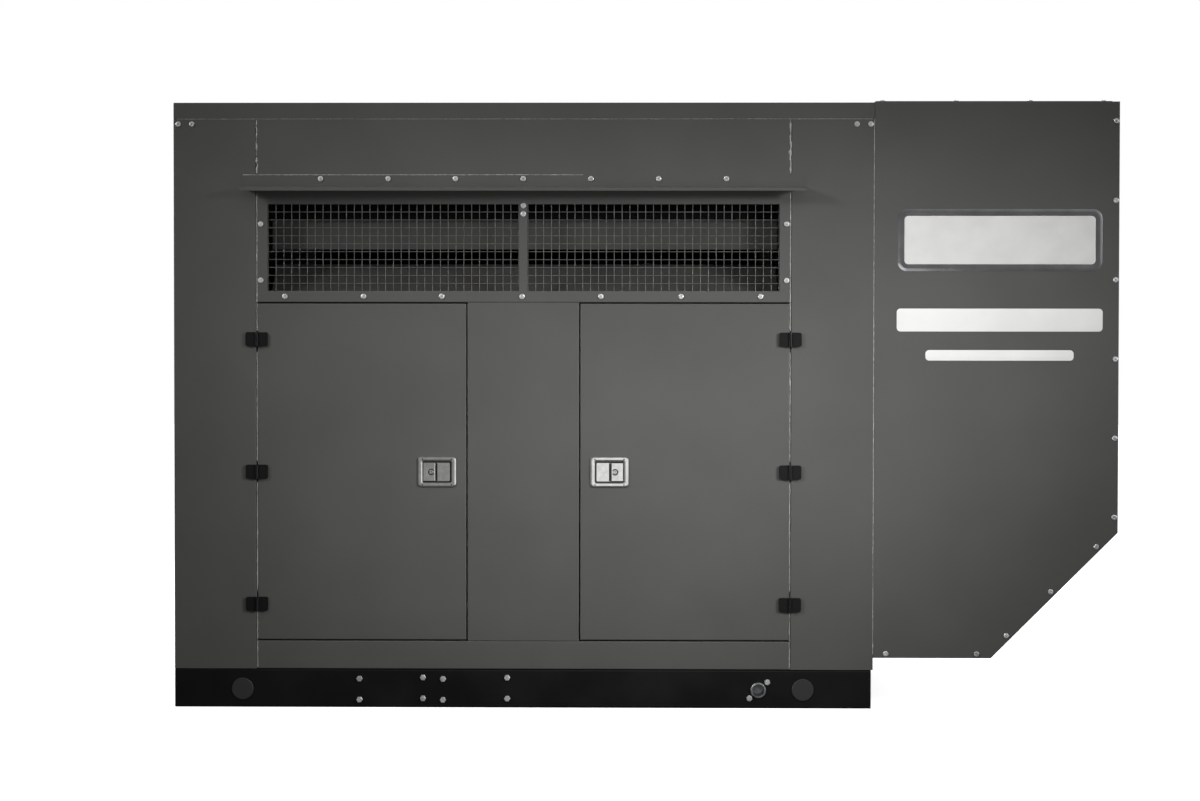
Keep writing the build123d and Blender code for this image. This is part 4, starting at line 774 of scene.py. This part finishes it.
# ---------------------------------------------------------------------------------------------
# Generator ribs. The stator frame is rolled steel with flat bars welded along it as cooling ribs,
# painted with it.
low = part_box("generator_housing")[0]
AXIS_Z = 0.520
BARREL_RADIUS = 0.235
RIB_HEIGHT, RIB_THICK = 0.016, 0.006
one_side = np.arange(-48, 49, 8)  # degrees from level
angles = np.concatenate([np.radians(one_side), np.radians(180 + one_side)])
outward = np.stack([np.zeros_like(angles), np.cos(angles), np.sin(angles)], -1)
sideways = np.stack([np.zeros_like(angles), -np.sin(angles), np.cos(angles)], -1)
rib_x = (low.x + 0.045, low.x + 0.555)
rib_section = ((-0.002, -1), (RIB_HEIGHT, -1), (RIB_HEIGHT, 1), (-0.002, 1))
corners = [(r, t, x) for x in rib_x for r, t in rib_section]
points = np.stack(
    [
        np.array([x, 0.0, AXIS_Z]) + outward * (BARREL_RADIUS + r) + sideways * t * RIB_THICK / 2
        for r, t, x in corners
    ],
    axis=1,
)
box_faces = np.array([[0, 1, 2, 3], [7, 6, 5, 4], [0, 4, 5, 1], [1, 5, 6, 2], [2, 6, 7, 3], [3, 7, 4, 0]])
faces = (np.arange(len(angles))[:, None, None] * 8 + box_faces[:, ::-1]).reshape(-1, 4)
ribs = face_outward(surface("generator_ribs", points.reshape(-1, 3), faces.tolist(), smooth=False))
dress(ribs, engine_paint)

# ---------------------------------------------------------------------------------------------
# Battery. Two lead posts and a strip of vent caps stand on its moulded lid.
low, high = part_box("battery")
lead, tree, shader, place = finish_of("cast_lead", "#8b8d90", 0.5, 1.0)
mottle(tree, shader, place, "#7c7e81", "#9a9ca0", 5)


def upright(name, centre, z, steps, sides=24):
    """Turned piece that stands on z: steps is a list of (radius, height)."""
    turn = np.arange(sides) * 2 * pi / sides
    rings = [
        np.stack([centre[0] + r * np.cos(turn), centre[1] + r * np.sin(turn), np.full(sides, z + h)], -1)
        for r, h in steps
    ]
    return soften(stacked(name, rings))


POST_STEPS = [(0.0105, 0), (0.0105, 0.002), (0.009, 0.003), (0.0085, 0.018), (0.0075, 0.019)]
CAP_STEPS = [(0.011, 0), (0.011, 0.005), (0.0095, 0.0065)]
LID_MARGIN = 0.035
for k, x in enumerate((low.x + LID_MARGIN, high.x - LID_MARGIN)):
    post = upright(f"battery_post_{k}", (x, low.y + LID_MARGIN), high.z, POST_STEPS)
    dress(post, lead)
cap_y = (low.y + high.y) / 2 + 0.02
for k, x in enumerate(np.linspace(low.x + LID_MARGIN, high.x - LID_MARGIN, 6)):
    dress(upright(f"battery_cap_{k}", (x, cap_y), high.z, CAP_STEPS), nylon)

# ---------------------------------------------------------------------------------------------
# Acoustic lining. Black open-cell foam, moulded with 50 mm pyramids, glued inside the doors and
# the left end.


def pyramid_foam(name, corner, across, up, outward, width, height, base, peak, pitch=0.05):
    """Foam slab on a grid of half pitches: thickness is base, plus peak where both counts are odd, which
    makes a pyramid in each pitch square. A skirt drops to the glued face all round; one face closes it."""
    columns, rows = 2 * int(width / pitch), 2 * int(height / pitch)
    u, v = np.meshgrid(np.linspace(0, width, columns + 1), np.linspace(0, height, rows + 1), indexing="ij")
    odd = (np.arange(columns + 1)[:, None] % 2) * (np.arange(rows + 1)[None, :] % 2)
    thick = base + peak * odd
    corner, across, up, outward = (np.array(vector, float) for vector in (corner, across, up, outward))
    top = corner + u[..., None] * across + v[..., None] * up + thick[..., None] * outward
    index = np.arange(top.shape[0] * top.shape[1]).reshape(top.shape[:2])
    a, b, c, d = index[:-1, :-1], index[1:, :-1], index[1:, 1:], index[:-1, 1:]
    quads = np.stack([a, b, c, d], -1).reshape(-1, 4)
    border = np.concatenate([index[:-1, 0], index[-1, :-1], index[:0:-1, -1], index[0, :0:-1]])
    flat = top.reshape(-1, 3)
    skirt = flat[border] - base * outward
    low_ring = len(flat) + np.arange(len(border))
    walls = np.stack([border, low_ring, np.roll(low_ring, -1), np.roll(border, -1)], -1)
    faces = quads.tolist() + walls.tolist() + [low_ring[::-1].tolist()]
    return face_outward(surface(name, np.concatenate([flat, skirt]), faces, smooth=False))


AXIS_X, AXIS_Y, AXIS_UP = (1, 0, 0), (0, 1, 0), (0, 0, 1)
SKIN = 0.0025  # sheet and glue, from the outer face to the foam
HINGE_MARGIN, LATCH_MARGIN, DOOR_MARGIN, END_MARGIN = 0.035, 0.030, 0.045, 0.06
FOAM_BASE, DOOR_PEAK, END_PEAK = 0.008, 0.010, 0.012
for side in ("left", "right"):
    low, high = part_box(f"{side}_door")
    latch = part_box(f"{side}_latch_dish")
    x0, x1 = low.x + HINGE_MARGIN, latch[0].x - LATCH_MARGIN
    if side == "right":
        x0, x1 = latch[1].x + LATCH_MARGIN, high.x - HINGE_MARGIN
    corner = (x0, low.y + SKIN, low.z + DOOR_MARGIN)
    size = (x1 - x0, high.z - low.z - 2 * DOOR_MARGIN)
    panel = pyramid_foam(f"{side}_door_foam", corner, AXIS_X, AXIS_UP, AXIS_Y, *size, FOAM_BASE, DOOR_PEAK)
    dress(panel, foam, f"{side}_door")
low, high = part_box("left_end_panel")
corner = (low.x + SKIN, low.y + END_MARGIN, low.z + END_MARGIN)
size = (high.y - low.y - 2 * END_MARGIN, high.z - low.z - 2 * END_MARGIN)
end_foam = pyramid_foam("end_wall_foam", corner, AXIS_Y, AXIS_UP, AXIS_X, *size, FOAM_BASE, END_PEAK)
dress(end_foam, foam)

# ---------------------------------------------------------------------------------------------
# Studio: a plain white floor and two louvred lamps, high at the left and at the right, that cross
# on the doors. Two dim cards in front are there for bright metal to reflect; broad lamps stand
# behind and at both ends.
scene = bpy.context.scene
scene.view_settings.view_transform = "Standard"
FLOOR_HALF, FLOOR_Z = 30, -0.0005
floor_points = [(x * FLOOR_HALF, y * FLOOR_HALF, FLOOR_Z) for x, y in ((-1, -1), (1, -1), (1, 1), (-1, 1))]
floor = surface("studio_floor", floor_points, [[0, 1, 2, 3]])
floor_paint, tree, shader, place = finish_of("matte_white_floor", "#f4f4f4", 0.9)
shader.inputs["Emission Color"].default_value = linear("#ffffff")
shader.inputs["Emission Strength"].default_value = 0.9
floor.data.materials.append(floor_paint)
# the floor is bright to look at but sends no light up on to the black base
floor.visible_diffuse = False
floor.visible_glossy = False

world = bpy.data.worlds.new("studio_white")
world.use_nodes = True
scene.world = world
tree = world.node_tree
background = tree.nodes["Background"]
background.inputs["Color"].default_value = linear("#ffffff")
# the room is white to look at; as light it is dim round the walls and brighter overhead
direction = add(tree, "ShaderNodeTexCoord").outputs["Generated"]
split = add(tree, "ShaderNodeSeparateXYZ", [("Vector", direction)])
room = add(tree, "ShaderNodeMapRange", [("Value", split.outputs["Z"])], interpolation_type="SMOOTHSTEP")
for socket, value in (("From Min", 0.15), ("From Max", 0.85), ("To Min", 0.09), ("To Max", 0.55)):
    room.inputs[socket].default_value = value
seen = add(tree, "ShaderNodeLightPath").outputs["Is Camera Ray"]
strength = add(tree, "ShaderNodeMapRange", [("Value", seen), ("To Min", room.outputs["Result"])])
strength.inputs["To Max"].default_value = 1.0
tree.links.new(strength.outputs["Result"], background.inputs["Strength"])


def soft_light(name, spot, target, width, height, watts, spread=180):
    """A rectangular lamp at spot that faces target; spread is the angle its louvres let out."""
    lamp = bpy.data.lights.new(name, "AREA")
    lamp.shape = "RECTANGLE"
    lamp.size, lamp.size_y = width, height
    lamp.energy = watts
    lamp.spread = radians(spread)
    made = bpy.data.objects.new(name, lamp)
    made.location = spot
    made.rotation_euler = (Vector(target) - Vector(spot)).to_track_quat("-Z", "Y").to_euler()
    made.visible_camera = False
    scene.collection.objects.link(made)


soft_light("left_high", (-4.2, -3.2, 3.1), (0.35, -0.56, 0.85), 1.0, 0.8, 7.0, 33)
soft_light("right_high", (3.7, -3.2, 2.3), (-0.02, -0.56, 0.85), 1.0, 0.8, 9.0, 33)
soft_light("front_card", (0.30, -2.56, 0.86), (0.30, -0.56, 0.86), 1.5, 1.0, 5)
soft_light("left_card", (-1.00, -2.56, 0.86), (-1.00, -0.56, 0.86), 1.0, 1.0, 0.8)
soft_light("rear", (0.0, 4.0, 2.6), (0.0, 0.5, 0.9), 3.0, 1.6, 130)
soft_light("left_end", (-4.4, 0.9, 2.0), (-1.5, 0.2, 0.9), 1.6, 1.6, 60)
soft_light("right_end", (4.4, 0.9, 2.0), (1.5, 0.2, 0.9), 1.6, 1.6, 60)

CAMERA_DISTANCE = 7.0
SENSOR_MM, VIEW_WIDTH = 36.0, 3.889  # VIEW_WIDTH is what the lens takes in at look_at
look_at = Vector((-0.146, -0.56, 1.0005))
pitch, yaw, roll = radians(1.1), radians(0.7), radians(-0.06)
camera = bpy.data.cameras.new("camera")
camera.sensor_width = SENSOR_MM
camera.lens = SENSOR_MM * CAMERA_DISTANCE / VIEW_WIDTH
camera.clip_end = 200.0
viewer = bpy.data.objects.new("camera", camera)
viewer.rotation_euler = Euler((pi / 2 - pitch, roll, yaw), "XYZ")
viewer.location = look_at - viewer.rotation_euler.to_matrix() @ Vector((0, 0, -CAMERA_DISTANCE))
scene.collection.objects.link(viewer)
scene.camera = viewer
